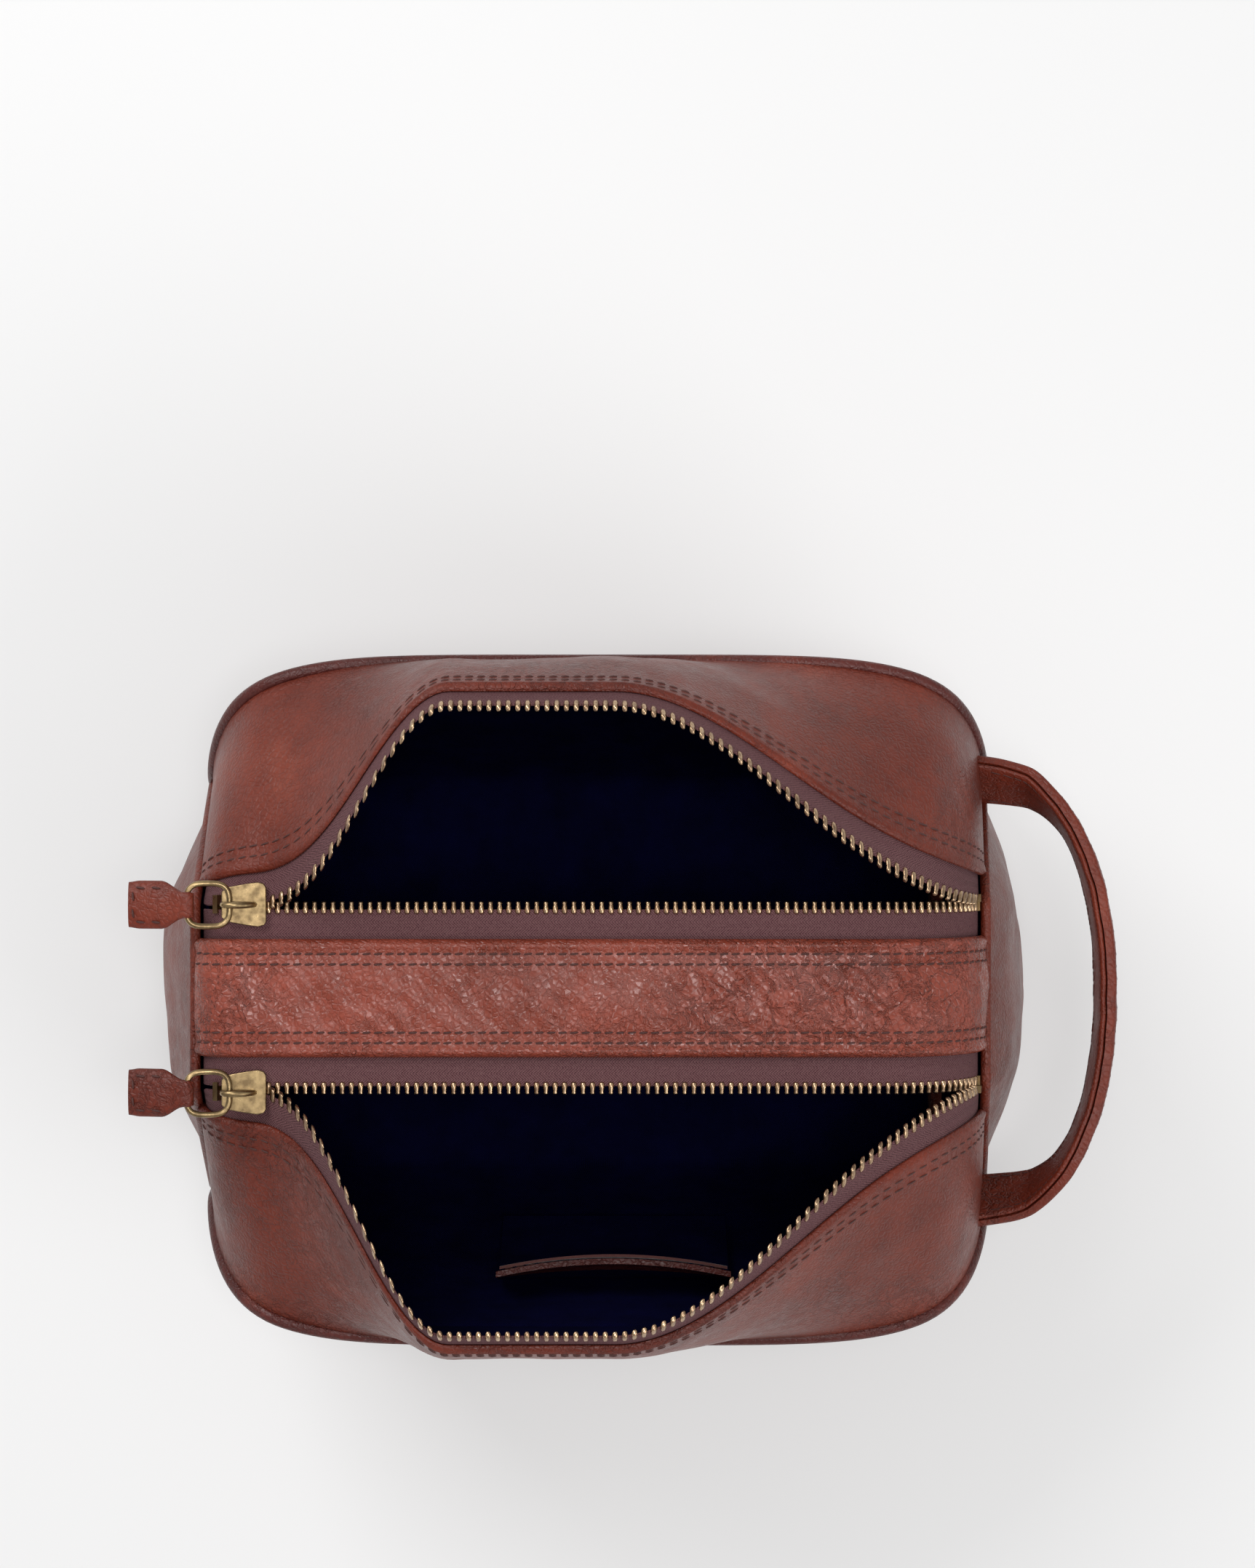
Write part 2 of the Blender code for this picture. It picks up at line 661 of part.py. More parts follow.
def make_linings():
    """A lining for each compartment: down the outer wall, across the floor and up the divider."""
    floor = 0.0042
    wall_inset = LEATHER + LINING_LOOSE
    for side in (FRONT, BACK):
        outer, inner = [], []
        for x in spread_to_ends(-LINING_REACH, LINING_REACH, 21):
            wall_top = piping_height(x, 0.0050)
            divider_top = crown_height(x) - 0.0056
            path_out, path_in = [], []
            for z in spread(wall_top, 0.0090, 6):
                y = wall_y(x, z, side) - wall_inset
                path_out.append(Vector((x, side * y, z)))
                path_in.append(Vector((x, side * (y - FABRIC), z)))
            foot = wall_y(x, 0.009, side) - wall_inset - 0.004
            path_out.append(Vector((x, side * foot, floor)))
            path_in.append(Vector((x, side * (foot - 0.0003), floor + FABRIC)))
            path_out.append(Vector((x, side * 0.0009, floor)))
            path_in.append(Vector((x, side * (0.0009 + FABRIC), floor + FABRIC)))
            for z in spread(0.05, divider_top, 3):
                path_out.append(Vector((x, side * 0.0009, z)))
                path_in.append(Vector((x, side * (0.0009 + FABRIC), z)))
            outer.append(path_out)
            inner.append(path_in)
        slab(f"{SIDE_NAME[side]}_lining", outer, inner, "lining_fabric")
    columns = spread(-0.1030, 0.1030, 17)
    rows = spread(0, 1, 3)
    low, top_gap = 0.0045, 0.0056
    front_face = []
    for v in rows:
        heights = [low + (crown_height(x) - top_gap - low) * v for x in columns]
        front_face.append([Vector((x, -0.0005, z)) for x, z in zip(columns, heights)])
    back_face = [[Vector((p.x, 0.0005, p.z)) for p in row] for row in front_face]
    slab("divider", front_face, back_face, "stiffener")
    inset = wall_inset + FABRIC + 4 * GAP
    pocket_low, pocket_top = POCKET_Z
    welt_low, welt_top = pocket_top + GAP, pocket_top + 0.008
    wall_sheet("pocket_bag", FRONT, inset, FABRIC, "lining_fabric", POCKET_X, pocket_low, 0, 7, 5, pocket_top)
    wall_sheet("pocket_welt", FRONT, inset, 0.0016, "leather", POCKET_X, welt_low, 0, 7, 3, welt_top)


def make_top():
    """The centre strip and both zips with their flaps."""
    first, last = LEFT_END + 0.002, RIGHT_END - 0.002
    half = STRIP_HALF_WIDTH
    crown_band("centre_strip", -half, half, 0.0, LEATHER, "leather", first, last)
    teeth_end = RIGHT_END - 0.004
    stop = (teeth_end + 0.0005, teeth_end + 0.0023)
    bottom_stop = (TEETH_START - 0.0034, TEETH_START - 0.0018)
    half_step = (0.5 - (FLAP_START - TEETH_START) / TOOTH_PITCH) % 1
    for side in (FRONT, BACK):
        name = SIDE_NAME[side]
        fixed, moving = inner_place(side), outer_place(side)
        near, far = sorted((side * (ZIP_Y - TAPE_HIDDEN), side * (ZIP_Y - TAPE_EDGE)))
        depth = ZIP_DEPTH - TAPE / 2
        crown_band(f"{name}_inner_tape", near, far, depth, TAPE, "tape_fabric", first, last)
        comb(f"{name}_inner_teeth", fixed, TEETH_START, teeth_end, 0.0)
        comb(f"{name}_outer_teeth", moving, FLAP_START, teeth_end - TOOTH_PITCH, half_step)
        band = ("tape_fabric", FLAP_START, last, 3)
        flap_band(f"{name}_outer_tape", side, TAPE_EDGE, TAPE_HIDDEN, LEATHER + 3 * GAP, TAPE, *band)
        band = ("leather", first, last, 6, True)
        flap_band(f"{name}_flap", side, LEATHER_EDGE, 0.0030, 0.0, LEATHER, *band)
        band = ("lining_fabric", first, last, 6, True)
        flap_band(f"{name}_flap_facing", side, TAPE_HIDDEN + 0.001, 0.006, LEATHER + 4 * GAP, FABRIC, *band)
        block(f"{name}_inner_top_stop", fixed, stop, (CORD_BACK, -0.0002), STOP_HEIGHT)
        block(f"{name}_outer_top_stop", moving, stop, (CORD_BACK, -0.0002), STOP_HEIGHT)
        block(f"{name}_bottom_stop", fixed, bottom_stop, (CORD_BACK, -CORD_BACK), STOP_HEIGHT)
        make_slider(side)
        make_bail(side)
        make_ring(side)
        make_tab(side)


def main():
    for old in list(bpy.data.objects):
        bpy.data.objects.remove(old, do_unlink=True)
    make_walls()
    make_base()
    make_linings()
    make_top()
    make_strap()


main()
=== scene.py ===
"""Looks of the shaving kit bag: grained leather, stitched seams, woven tape, brass zips, navy lining."""

import json
import math

import bmesh
import bpy
from mathutils import Matrix, Vector, noise


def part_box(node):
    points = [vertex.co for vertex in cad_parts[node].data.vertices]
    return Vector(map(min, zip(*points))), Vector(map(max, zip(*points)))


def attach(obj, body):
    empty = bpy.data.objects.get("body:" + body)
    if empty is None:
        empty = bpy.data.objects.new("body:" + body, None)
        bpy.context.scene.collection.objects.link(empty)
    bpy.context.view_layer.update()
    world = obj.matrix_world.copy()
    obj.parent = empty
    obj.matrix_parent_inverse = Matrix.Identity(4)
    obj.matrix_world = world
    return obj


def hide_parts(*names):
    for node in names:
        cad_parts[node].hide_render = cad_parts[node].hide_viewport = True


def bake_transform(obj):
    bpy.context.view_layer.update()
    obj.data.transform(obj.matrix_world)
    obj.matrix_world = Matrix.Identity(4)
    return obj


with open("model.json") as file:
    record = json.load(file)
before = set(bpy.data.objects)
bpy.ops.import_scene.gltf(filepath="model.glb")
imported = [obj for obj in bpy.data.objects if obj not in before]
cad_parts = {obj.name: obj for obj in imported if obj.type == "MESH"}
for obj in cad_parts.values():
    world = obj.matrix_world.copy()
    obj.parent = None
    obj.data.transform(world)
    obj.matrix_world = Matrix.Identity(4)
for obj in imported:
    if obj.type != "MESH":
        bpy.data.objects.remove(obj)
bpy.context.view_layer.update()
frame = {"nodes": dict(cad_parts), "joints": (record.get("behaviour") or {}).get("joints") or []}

# Sizes that come from the frame
JOINTS = {joint["name"]: joint for joint in frame["joints"]}
FRONT, BACK = -1, 1
NAME = {FRONT: "front", BACK: "back"}
BAG_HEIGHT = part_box("centre_strip")[1].z
STRIP_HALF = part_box("centre_strip")[1].y
HINGE = {s: Vector(JOINTS[f"{NAME[s]}_flap_hinge"]["pos_m"]) for s in NAME}
OPENING = {s: math.radians(JOINTS[f"{NAME[s]}_flap_hinge"]["range_deg"][1]) for s in NAME}
ZIP_Y = abs(JOINTS["back_ring_swing"]["pos_m"][1])
PIPING_RADIUS = 0.0020
PIPING_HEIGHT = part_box("front_piping")[1].z - PIPING_RADIUS
SIDE_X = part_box("front_piping")[1].x - PIPING_RADIUS
HALF_WIDTH = {s: abs(HINGE[s].y) + 0.002 for s in NAME}
BASE_HALF_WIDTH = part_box("base_panel")[1].y + 0.0026

# Form of the walls and the crown, as the frame has them
HALF_LENGTH = SIDE_X + 0.002
CORNER_Z = 0.080
CORNER_X = 0.088
END_BULGE = 0.0165
END_HALF_WIDTH = 0.0600
LEFT_RADIUS, LEFT_STRAIGHT = 0.010, -0.099
RIGHT_RADIUS, RIGHT_STRAIGHT = 0.030, 0.078
TURN = math.radians(80)
LEFT_END = LEFT_STRAIGHT - LEFT_RADIUS * TURN
RIGHT_END = RIGHT_STRAIGHT + RIGHT_RADIUS * TURN
LEFT_FADE, RIGHT_FADE = (-0.0925, -0.038), (0.118, 0.005)
FLAP_CROWN = 0.005
CROWN_FADE = 0.030
CROWN_REACH = 0.1088
TOP_POWER, BASE_POWER = 5.5, 8

# Zips
TEETH_START = -0.101
TOOTH_PITCH = 0.0025
TOOTH_WIDTH = 0.00150
TOOTH_TIP = 0.00085
CORD_BACK = 0.0025
TOOTH_HEIGHT = 0.0022
LEATHER_EDGE = 0.0093
TAPE_EDGE = 0.0014
TAPE_HIDDEN = 0.0122
ZIP_DEPTH = 0.0020
STRIP_SWELL = 0.0010

# Sheets and sewing
LEATHER = 0.0016
TAPE = 0.0007
FABRIC = 0.0008
LINING_GAP = 0.0036
FLAP_SEAMS = (0.0042, 0.0072)
STRIP_SEAMS = (0.0040, 0.0068)
STITCH_PITCH = 0.0031
STITCH_LENGTH = 0.0025
STITCH_WIDTH = 0.00030


# Small helpers


def spread(low, high, count):
    """Evenly spaced numbers from low to high."""
    return [low + (high - low) * i / (count - 1) for i in range(count)]


def spread_to_ends(low, high, count):
    """Numbers from low to high, closer together near both ends."""
    middle, half = (low + high) / 2, (high - low) / 2
    return [middle + half * math.sin(t * math.pi / 2) for t in spread(-1, 1, count)]


def ease(t):
    """A smooth step from 0 to 1."""
    t = max(0.0, min(1.0, t))
    return t * t * (3 - 2 * t)


def mix(a, b, t):
    return a + (b - a) * t


def signed_power(value, power):
    return math.copysign(abs(value) ** power, value)


def ripple(p, size, seed=0.0):
    """Smooth noise from -1 to 1 with features of about this size."""
    return noise.noise(Vector((p.x / size + seed, p.y / size - seed, p.z / size + seed * 0.7)))


# Node materials


class Shade:
    """A Principled material and short calls that wire its nodes."""

    def __init__(self, name, roughness=0.5, metallic=0.0):
        self.material = bpy.data.materials.new(name)
        self.material.use_nodes = True
        self.tree = self.material.node_tree
        self.shader = self.tree.nodes["Principled BSDF"]
        self.shader.inputs["Roughness"].default_value = roughness
        self.shader.inputs["Metallic"].default_value = metallic

    def add(self, kind, values=None, **settings):
        node = self.tree.nodes.new(kind)
        for key, value in settings.items():
            setattr(node, key, value)
        for key, value in (values or {}).items():
            if isinstance(value, bpy.types.NodeSocket):
                self.tree.links.new(value, node.inputs[key])
            else:
                node.inputs[key].default_value = value
        return node

    def link(self, output, socket):
        self.tree.links.new(output, self.shader.inputs[socket])

    def math(self, kind, a, b=0.0):
        return self.add("ShaderNodeMath", {0: a, 1: b}, operation=kind).outputs[0]

    def mix(self, share, a, b):
        return self.add("ShaderNodeMix", {0: share, 6: a, 7: b}, data_type="RGBA").outputs[2]

    def ramp(self, source, low, high, from_value=0.0, to_value=1.0):
        values = {"Value": source, "From Min": low, "From Max": high}
        values.update({"To Min": from_value, "To Max": to_value})
        return self.add("ShaderNodeMapRange", values).outputs["Result"]

    def noise(self, vector, scale, detail=4.0, roughness=0.55, distortion=0.0):
        values = {"Vector": vector, "Scale": scale, "Detail": detail}
        values.update({"Roughness": roughness, "Distortion": distortion})
        return self.add("ShaderNodeTexNoise", values).outputs["Fac"]

    def bump(self, height, distance, strength=1.0, normal=None):
        values = {"Height": height, "Distance": distance, "Strength": strength}
        if normal is not None:
            values["Normal"] = normal
        return self.add("ShaderNodeBump", values).outputs["Normal"]


def leather_material(name, dark, light, roughness, grain=1.0, sheen=0.05, worn=(0.25, 0.055, 0.029, 1)):
    """Pebbled full-grain leather: cells of grain, finer pores, long creases, lighter worn patches, and
    painted shade darkening the grain's valleys and the creases.
    """
    m = Shade(name, roughness)
    place = m.add("ShaderNodeTexCoord").outputs["Object"]
    wobble = m.add("ShaderNodeTexNoise", {"Vector": place, "Scale": 160.0, "Detail": 2.0}).outputs["Color"]
    shift = m.add("ShaderNodeVectorMath", {0: wobble, "Scale": 0.0011}, operation="SCALE").outputs[0]
    warped = m.add("ShaderNodeVectorMath", {0: place, 1: shift}, operation="ADD").outputs[0]
    cells = m.add("ShaderNodeTexVoronoi", {"Vector": warped, "Scale": 640.0}, feature="DISTANCE_TO_EDGE")
    ridges = m.math("ABSOLUTE", m.math("SUBTRACT", m.noise(warped, 190.0, 4.0, 0.6, 0.9), 0.5))
    pores = m.noise(place, 2600.0, 3.0, 0.6)
    patches = m.noise(place, 26.0, 5.0, 0.6, 0.3)
    mottle = m.noise(place, 150.0, 5.0, 0.65)
    pebble = m.ramp(cells.outputs["Distance"], 0.0, 0.22)
    crease = m.ramp(ridges, 0.0, 0.055)
    strength_here = m.ramp(m.noise(place, 17.0, 2.0), 0.42, 0.62, 0.15, 1.0)
    tone = m.math("ADD", m.math("MULTIPLY", patches, 0.7), m.math("MULTIPLY", mottle, 0.45))
    colour = m.mix(m.ramp(tone, 0.40, 0.78), dark, light)
    colour = m.mix(m.ramp(patches, 0.60, 0.78, 0.0, 0.45), colour, worn)
    # Painted shade: the colour is darkened in the valleys between the pebbles and along the creases.
    painted_groove_shade = m.math("MULTIPLY", m.math("SUBTRACT", 1.0, pebble), 0.22)
    painted_groove_shade = m.math("ADD", painted_groove_shade, m.math("MULTIPLY", m.math("SUBTRACT", strength_here, crease), 0.12))
    painted_groove_shade = m.add("ShaderNodeClamp", {"Value": painted_groove_shade}).outputs[0]
    colour = m.mix(painted_groove_shade, colour, tuple(c * 0.35 for c in dark[:3]) + (1,))
    m.link(colour, "Base Color")
    m.link(m.ramp(mottle, 0.3, 0.7, roughness - 0.07, roughness + 0.10), "Roughness")
    m.shader.inputs["Coat Weight"].default_value = sheen
    m.shader.inputs["Coat Roughness"].default_value = 0.32
    m.shader.inputs["Specular IOR Level"].default_value = 0.30
    fold = m.bump(m.math("MULTIPLY", crease, strength_here), 0.00030 * grain, 0.8)
    normal = m.bump(pebble, 0.00014 * grain, 0.75, fold)
    normal = m.bump(pores, 0.00004, 0.5, normal)
    m.link(normal, "Normal")
    return m.material


def weave_height(m, across, along, thread):
    """Height of a plain weave with this thread spacing, from two coordinates in metres."""
    turn = math.pi / thread
    a = m.math("SINE", m.math("MULTIPLY", across, turn))
    b = m.math("SINE", m.math("MULTIPLY", along, turn))
    return m.math("MULTIPLY", a, b)


def tape_material():
    """Zip tape: a herringbone weave whose diagonals turn over every few threads."""
    m = Shade("zip_tape", 0.82)
    uv = m.add("ShaderNodeSeparateXYZ", {"Vector": m.add("ShaderNodeTexCoord").outputs["UV"]})
    along, across = uv.outputs["X"], uv.outputs["Y"]
    zigzag = m.math("PINGPONG", across, 0.0016)
    diagonal = m.math("ADD", along, m.math("MULTIPLY", zigzag, 1.1))
    rib = m.math("SINE", m.math("MULTIPLY", diagonal, 2 * math.pi / 0.00078))
    thread = m.math("SINE", m.math("MULTIPLY", across, 2 * math.pi / 0.00040))
    height = m.math("ADD", m.math("MULTIPLY", rib, 0.7), m.math("MULTIPLY", thread, 0.3))
    fuzz = m.noise(m.add("ShaderNodeTexCoord").outputs["Object"], 1400.0, 3.0)
    # The weave's relief is also painted into the colour: painted shade in the low threads, painted
    # highlight on the raised ribs.
    colour = m.mix(m.ramp(height, -0.9, 0.9), (0.050, 0.018, 0.021, 1), (0.180, 0.078, 0.086, 1))
    colour = m.mix(m.ramp(fuzz, 0.35, 0.7, 0.0, 0.35), colour, (0.21, 0.11, 0.11, 1))
    m.link(colour, "Base Color")
    m.shader.inputs["Specular IOR Level"].default_value = 0.20
    m.link(m.bump(fuzz, 0.00008, 0.4, m.bump(height, 0.00016, 0.9)), "Normal")
    return m.material


def brass_material(name, bright, dark, roughness):
    """Antique brass: bright on edges and heads, browned in the recesses."""
    m = Shade(name, roughness, 1.0)
    place = m.add("ShaderNodeTexCoord").outputs["Object"]
    stain = m.noise(place, 420.0, 4.0, 0.6)
    edge = m.add("ShaderNodeNewGeometry").outputs["Pointiness"]
    share = m.math("ADD", m.ramp(stain, 0.35, 0.70, 0.0, 0.75), m.ramp(edge, 0.50, 0.60, 0.0, 0.5))
    m.link(m.mix(m.add("ShaderNodeClamp", {"Value": share}).outputs[0], dark, bright), "Base Color")
    m.link(m.ramp(stain, 0.3, 0.7, roughness + 0.12, roughness - 0.06), "Roughness")
    m.link(m.bump(m.noise(place, 1800.0, 3.0), 0.00003, 0.4), "Normal")
    return m.material


def lining_material():
    """Navy cotton lining with a fine plain weave and soft folds."""
    m = Shade("lining", 0.85)
    place = m.add("ShaderNodeTexCoord").outputs["Object"]
    split = m.add("ShaderNodeSeparateXYZ", {"Vector": place})
    upright = m.math("ADD", split.outputs["Y"], split.outputs["Z"])
    height = weave_height(m, split.outputs["X"], upright, 0.00034)
    slub = m.noise(place, 90.0, 4.0)
    colour = m.mix(m.ramp(slub, 0.3, 0.75), (0.0007, 0.0008, 0.010, 1), (0.0022, 0.0025, 0.032, 1))
    # Painted highlight: the raised threads of the weave are painted lighter.
    colour = m.mix(m.ramp(height, -0.8, 0.8, 0.0, 0.4), colour, (0.0030, 0.0032, 0.040, 1))
    m.link(colour, "Base Color")
    m.shader.inputs["Specular IOR Level"].default_value = 0.06
    m.link(m.bump(slub, 0.0012, 0.35, m.bump(height, 0.00010, 0.7)), "Normal")
    return m.material


def thread_material():
    m = Shade("thread", 0.7)
    place = m.add("ShaderNodeTexCoord").outputs["Object"]
    twist = m.noise(place, 2400.0, 2.0)
    m.link(m.mix(twist, (0.026, 0.006, 0.005, 1), (0.090, 0.024, 0.017, 1)), "Base Color")
    m.link(m.bump(twist, 0.00008, 0.6), "Normal")
    return m.material


def suede_material():
    """Leather's flesh side and cut edges: matt, fibrous."""
    m = Shade("suede", 0.95)
    place = m.add("ShaderNodeTexCoord").outputs["Object"]
    fibre = m.noise(place, 900.0, 5.0, 0.7, 0.8)
    m.link(m.mix(fibre, (0.055, 0.016, 0.014, 1), (0.13, 0.046, 0.040, 1)), "Base Color")
    m.shader.inputs["Sheen Weight"].default_value = 0.3
    m.link(m.bump(fibre, 0.00015, 0.8), "Normal")
    return m.material


CHESTNUT = (0.092, 0.013, 0.006, 1), (0.185, 0.029, 0.013, 1)
WORN_STRIP = (0.150, 0.025, 0.012, 1), (0.300, 0.064, 0.040, 1)
DARK_EDGE = (0.052, 0.009, 0.007, 1), (0.115, 0.023, 0.018, 1)
LEATHER_SKIN = leather_material("leather", *CHESTNUT, 0.40)
STRIP_SKIN = leather_material("strip_leather", *WORN_STRIP, 0.25, grain=1.6, sheen=0.15)
PIPING_SKIN = leather_material("piping_leather", *DARK_EDGE, 0.36, grain=0.8)
TAPE_SKIN = tape_material()
TEETH_SKIN = brass_material("teeth_brass", (0.56, 0.39, 0.24, 1), (0.13, 0.070, 0.045, 1), 0.27)
BRASS_SKIN = brass_material("zip_brass", (0.42, 0.30, 0.15, 1), (0.12, 0.080, 0.042, 1), 0.32)
LINING_SKIN = lining_material()
THREAD_SKIN = thread_material()
SUEDE_SKIN = suede_material()


# Mesh builders


def dress(node, material):
    """Gives a CAD node that keeps its shape a new material."""
    materials = frame["nodes"][node].data.materials
    materials.clear()
    materials.append(material)


def fit(piece, body, node):
    """Puts a piece on a body, in place of a CAD node."""
    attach(piece, body)
    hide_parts(node)


def add_piece(name, bm, material, sharp=None):
    """Links a bmesh as a smooth, named piece."""
    bmesh.ops.recalc_face_normals(bm, faces=bm.faces)
    mesh = bpy.data.meshes.new(name)
    bm.to_mesh(mesh)
    bm.free()
    mesh.materials.append(material)
    mesh.shade_smooth()
    if sharp:
        mesh.set_sharp_from_angle(angle=math.radians(sharp))
    piece = bpy.data.objects.new(name, mesh)
    bpy.context.scene.collection.objects.link(piece)
    return piece


def bridge(bm, rings):
    """Joins rings of vertices into a solid with both ends capped."""
    count = len(rings[0])
    for low, high in zip(rings, rings[1:]):
        for k in range(count):
            n = (k + 1) % count
            bm.faces.new((low[k], low[n], high[n], high[k]))
    bm.faces.new(rings[0][::-1])
    bm.faces.new(rings[-1])


def loft(name, stations, section, place, material, sharp=None):
    """A capped solid swept along stations. section(s) gives a loop of (across, depth) that place maps."""
    bm = bmesh.new()
    uv = bm.loops.layers.uv.new("UVMap")
    rings, coords = [], []
    for s in stations:
        loop = section(s)
        rings.append([bm.verts.new(place(s, a, d)) for a, d in loop])
        coords.append([a for a, d in loop])
    count = len(rings[0])
    for i in range(len(rings) - 1):
        j = i + 1
        for k in range(count):
            n = (k + 1) % count
            face = bm.faces.new((rings[i][k], rings[i][n], rings[j][n], rings[j][k]))
            corners = ((i, k), (i, n), (j, n), (j, k))
            for loop_corner, (row, column) in zip(face.loops, corners):
                loop_corner[uv].uv = (stations[row], coords[row][column])
    bm.faces.new(rings[0][::-1])
    bm.faces.new(rings[-1])
    return add_piece(name, bm, material, sharp)


def sheet_section(low, high, columns, thickness, swell=0.0, roll=0.0):
    """The loop round a sheet: its face from low to high, then its back, with rounded edges."""
    half = thickness / 2
    face = []
    for a in spread(low + half, high - half, columns):
        share = (a - low) / (high - low)
        face.append((a, -swell * 4 * share * (1 - share) - roll * edge_roll(a - low, high - a)))
    loop = list(face)
    for turn in (60, 90, 120):
        angle = math.radians(turn)
        loop.append((high - half + half * math.sin(angle), half - half * math.cos(angle)))
    for a in spread(high - half, low + half, max(3, columns // 2)):
        loop.append((a, thickness))
    for turn in (120, 90, 60):
        angle = math.radians(turn)
        loop.append((low + half - half * math.sin(angle), half - half * math.cos(angle)))
    return loop


def edge_roll(from_low, from_high):
    """The plump fold along a sheet's edge, beside its stitching."""
    near = min(from_low, from_high)
    return math.exp(-(((near - 0.0016) / 0.0013) ** 2))


def circle_section(radius, sides):
    angles = [2 * math.pi * k / sides for k in range(sides)]
    return [(radius * math.cos(a), radius * math.sin(a)) for a in angles]


def tube(name, path, radius, sides, material, closed=False):
    """A round cord along a path of points."""
    bm = bmesh.new()
    count = len(path)
    rings, side = [], None
    for i, centre in enumerate(path):
        before = path[i - 1] if i > 0 or closed else path[i]
        after = path[(i + 1) % count] if i < count - 1 or closed else path[i]
        along = (after - before).normalized()
        side = side or along.orthogonal().normalized()
        side = (side - along * side.dot(along)).normalized()
        up = along.cross(side)
        size = radius(i / max(1, count - 1)) if callable(radius) else radius
        circle = circle_section(size, sides)
        rings.append([bm.verts.new(centre + side * a + up * b) for a, b in circle])
    for i in range(count if closed else count - 1):
        a, b = rings[i], rings[(i + 1) % count]
        shift = 0
        if closed and i == count - 1:
            shift = min(range(sides), key=lambda k: (a[0].co - b[k].co).length)
        for k in range(sides):
            bm.faces.new((a[k], a[(k + 1) % sides], b[(k + 1 + shift) % sides], b[(k + shift) % sides]))
    if not closed:
        bm.faces.new(rings[0][::-1])
        bm.faces.new(rings[-1])
    return add_piece(name, bm, material)


# One stitch as rings along its length: (share of length, share of width, sag)
STITCH_RINGS = (
    (-0.5, 0.15, 0.9),
    (-0.34, 0.85, 0.15),
    (0.0, 1.0, -0.25),
    (0.34, 0.85, 0.15),
    (0.5, 0.15, 0.9),
)
STITCH_SLANT = 0.00024
STITCH_SAG = 0.00022
STITCH_RISE = 0.00010


def stitches(name, rows):
    """Sewn thread: each row is (place, start, end, across), and place(s, across, depth) gives a point."""
    bm = bmesh.new()
    for place, start, end, across in rows:
        count = max(2, int((end - start) / STITCH_PITCH))
        for k in range(count):
            centre = start + (k + 0.5) * (end - start) / count
            rings = []
            for share, width, sag in STITCH_RINGS:
                s = centre + share * STITCH_LENGTH
                middle = across + share * STITCH_SLANT
                deep = sag * STITCH_SAG - STITCH_RISE
                circle = circle_section(STITCH_WIDTH * width, 6)
                rings.append([bm.verts.new(place(s, middle + a, deep + b)) for a, b in circle])
            bridge(bm, rings)
    return add_piece(name, bm, THREAD_SKIN)


# The bag's surfaces


def crown(s, depth=0.0):
    """(x, z) on the crown at distance s along it, at a depth below its surface."""
    if s < LEFT_STRAIGHT:
        turn = (LEFT_STRAIGHT - s) / LEFT_RADIUS
        reach = LEFT_RADIUS - depth
        return LEFT_STRAIGHT - reach * math.sin(turn), BAG_HEIGHT - LEFT_RADIUS + reach * math.cos(turn)
    if s > RIGHT_STRAIGHT:
        turn = (s - RIGHT_STRAIGHT) / RIGHT_RADIUS
        reach = RIGHT_RADIUS - depth
        return RIGHT_STRAIGHT + reach * math.sin(turn), BAG_HEIGHT - RIGHT_RADIUS + reach * math.cos(turn)
    return s, BAG_HEIGHT - depth


def crown_point(s, y, depth=0.0):
    x, z = crown(s, depth)
    return Vector((x, y, z))


def crown_height(x):
    """Height of the crown above a place in plan."""
    if x < LEFT_STRAIGHT:
        share = min(0.98, (LEFT_STRAIGHT - x) / LEFT_RADIUS)
        return BAG_HEIGHT - LEFT_RADIUS * (1 - math.sqrt(1 - share**2))
    if x > RIGHT_STRAIGHT:
        share = min(0.98, (x - RIGHT_STRAIGHT) / RIGHT_RADIUS)
        return BAG_HEIGHT - RIGHT_RADIUS * (1 - math.sqrt(1 - share**2))
    return BAG_HEIGHT


def outline(x, half_width, power):
    share = min(0.9999, abs(x) / HALF_LENGTH)
    return half_width * (1 - share**power) ** (1 / power)


def piping_height(x, inset=0.0):
    """Height of the piping over the front or back panel, or of a line a distance inside it."""
    over = max(0.0, abs(x) - CORNER_X) / (SIDE_X - inset - CORNER_X)
    return CORNER_Z + (PIPING_HEIGHT - inset - CORNER_Z) * math.sqrt(max(0.0, 1 - over**2))


def wall_y(x, z, side):
    low = outline(x, BASE_HALF_WIDTH, BASE_POWER)
    high = outline(x, HALF_WIDTH[side], TOP_POWER)
    return low + (high - low) * math.sin(math.pi / 2 * max(0.0, min(1.0, z / PIPING_HEIGHT)))


def beyond_zip(y):
    return min(1.0, max(0.0, abs(y) - ZIP_Y) / (END_HALF_WIDTH - ZIP_Y))


def seam_height(y, end, inset=0.0):
    """Height of the end seam, or of a line inside it: level between the zips, straight to the corner."""
    top = crown(LEFT_END if end < 0 else RIGHT_END)[1]
    slope = (top - CORNER_Z) / (END_HALF_WIDTH - ZIP_Y)
    slanted = top - (top - CORNER_Z) * beyond_zip(y) - inset * math.sqrt(1 + slope**2)
    return min(top - inset, slanted) if abs(y) > ZIP_Y else top - inset


def end_x(y, z, end):
    """Distance of the end panel's outer face from the middle of the bag."""
    share = min(1.0, max(0.0, z / seam_height(y, end)))
    crown_x = abs(crown(LEFT_END if end < 0 else RIGHT_END)[0])
    seam_x = crown_x + (SIDE_X - crown_x) * beyond_zip(y)
    base = SIDE_X - 0.001 + (seam_x - SIDE_X + 0.001) * share**3
    return base + END_BULGE * math.sin(math.pi * share) * (1 - (y / (END_HALF_WIDTH + 0.0015)) ** 2)


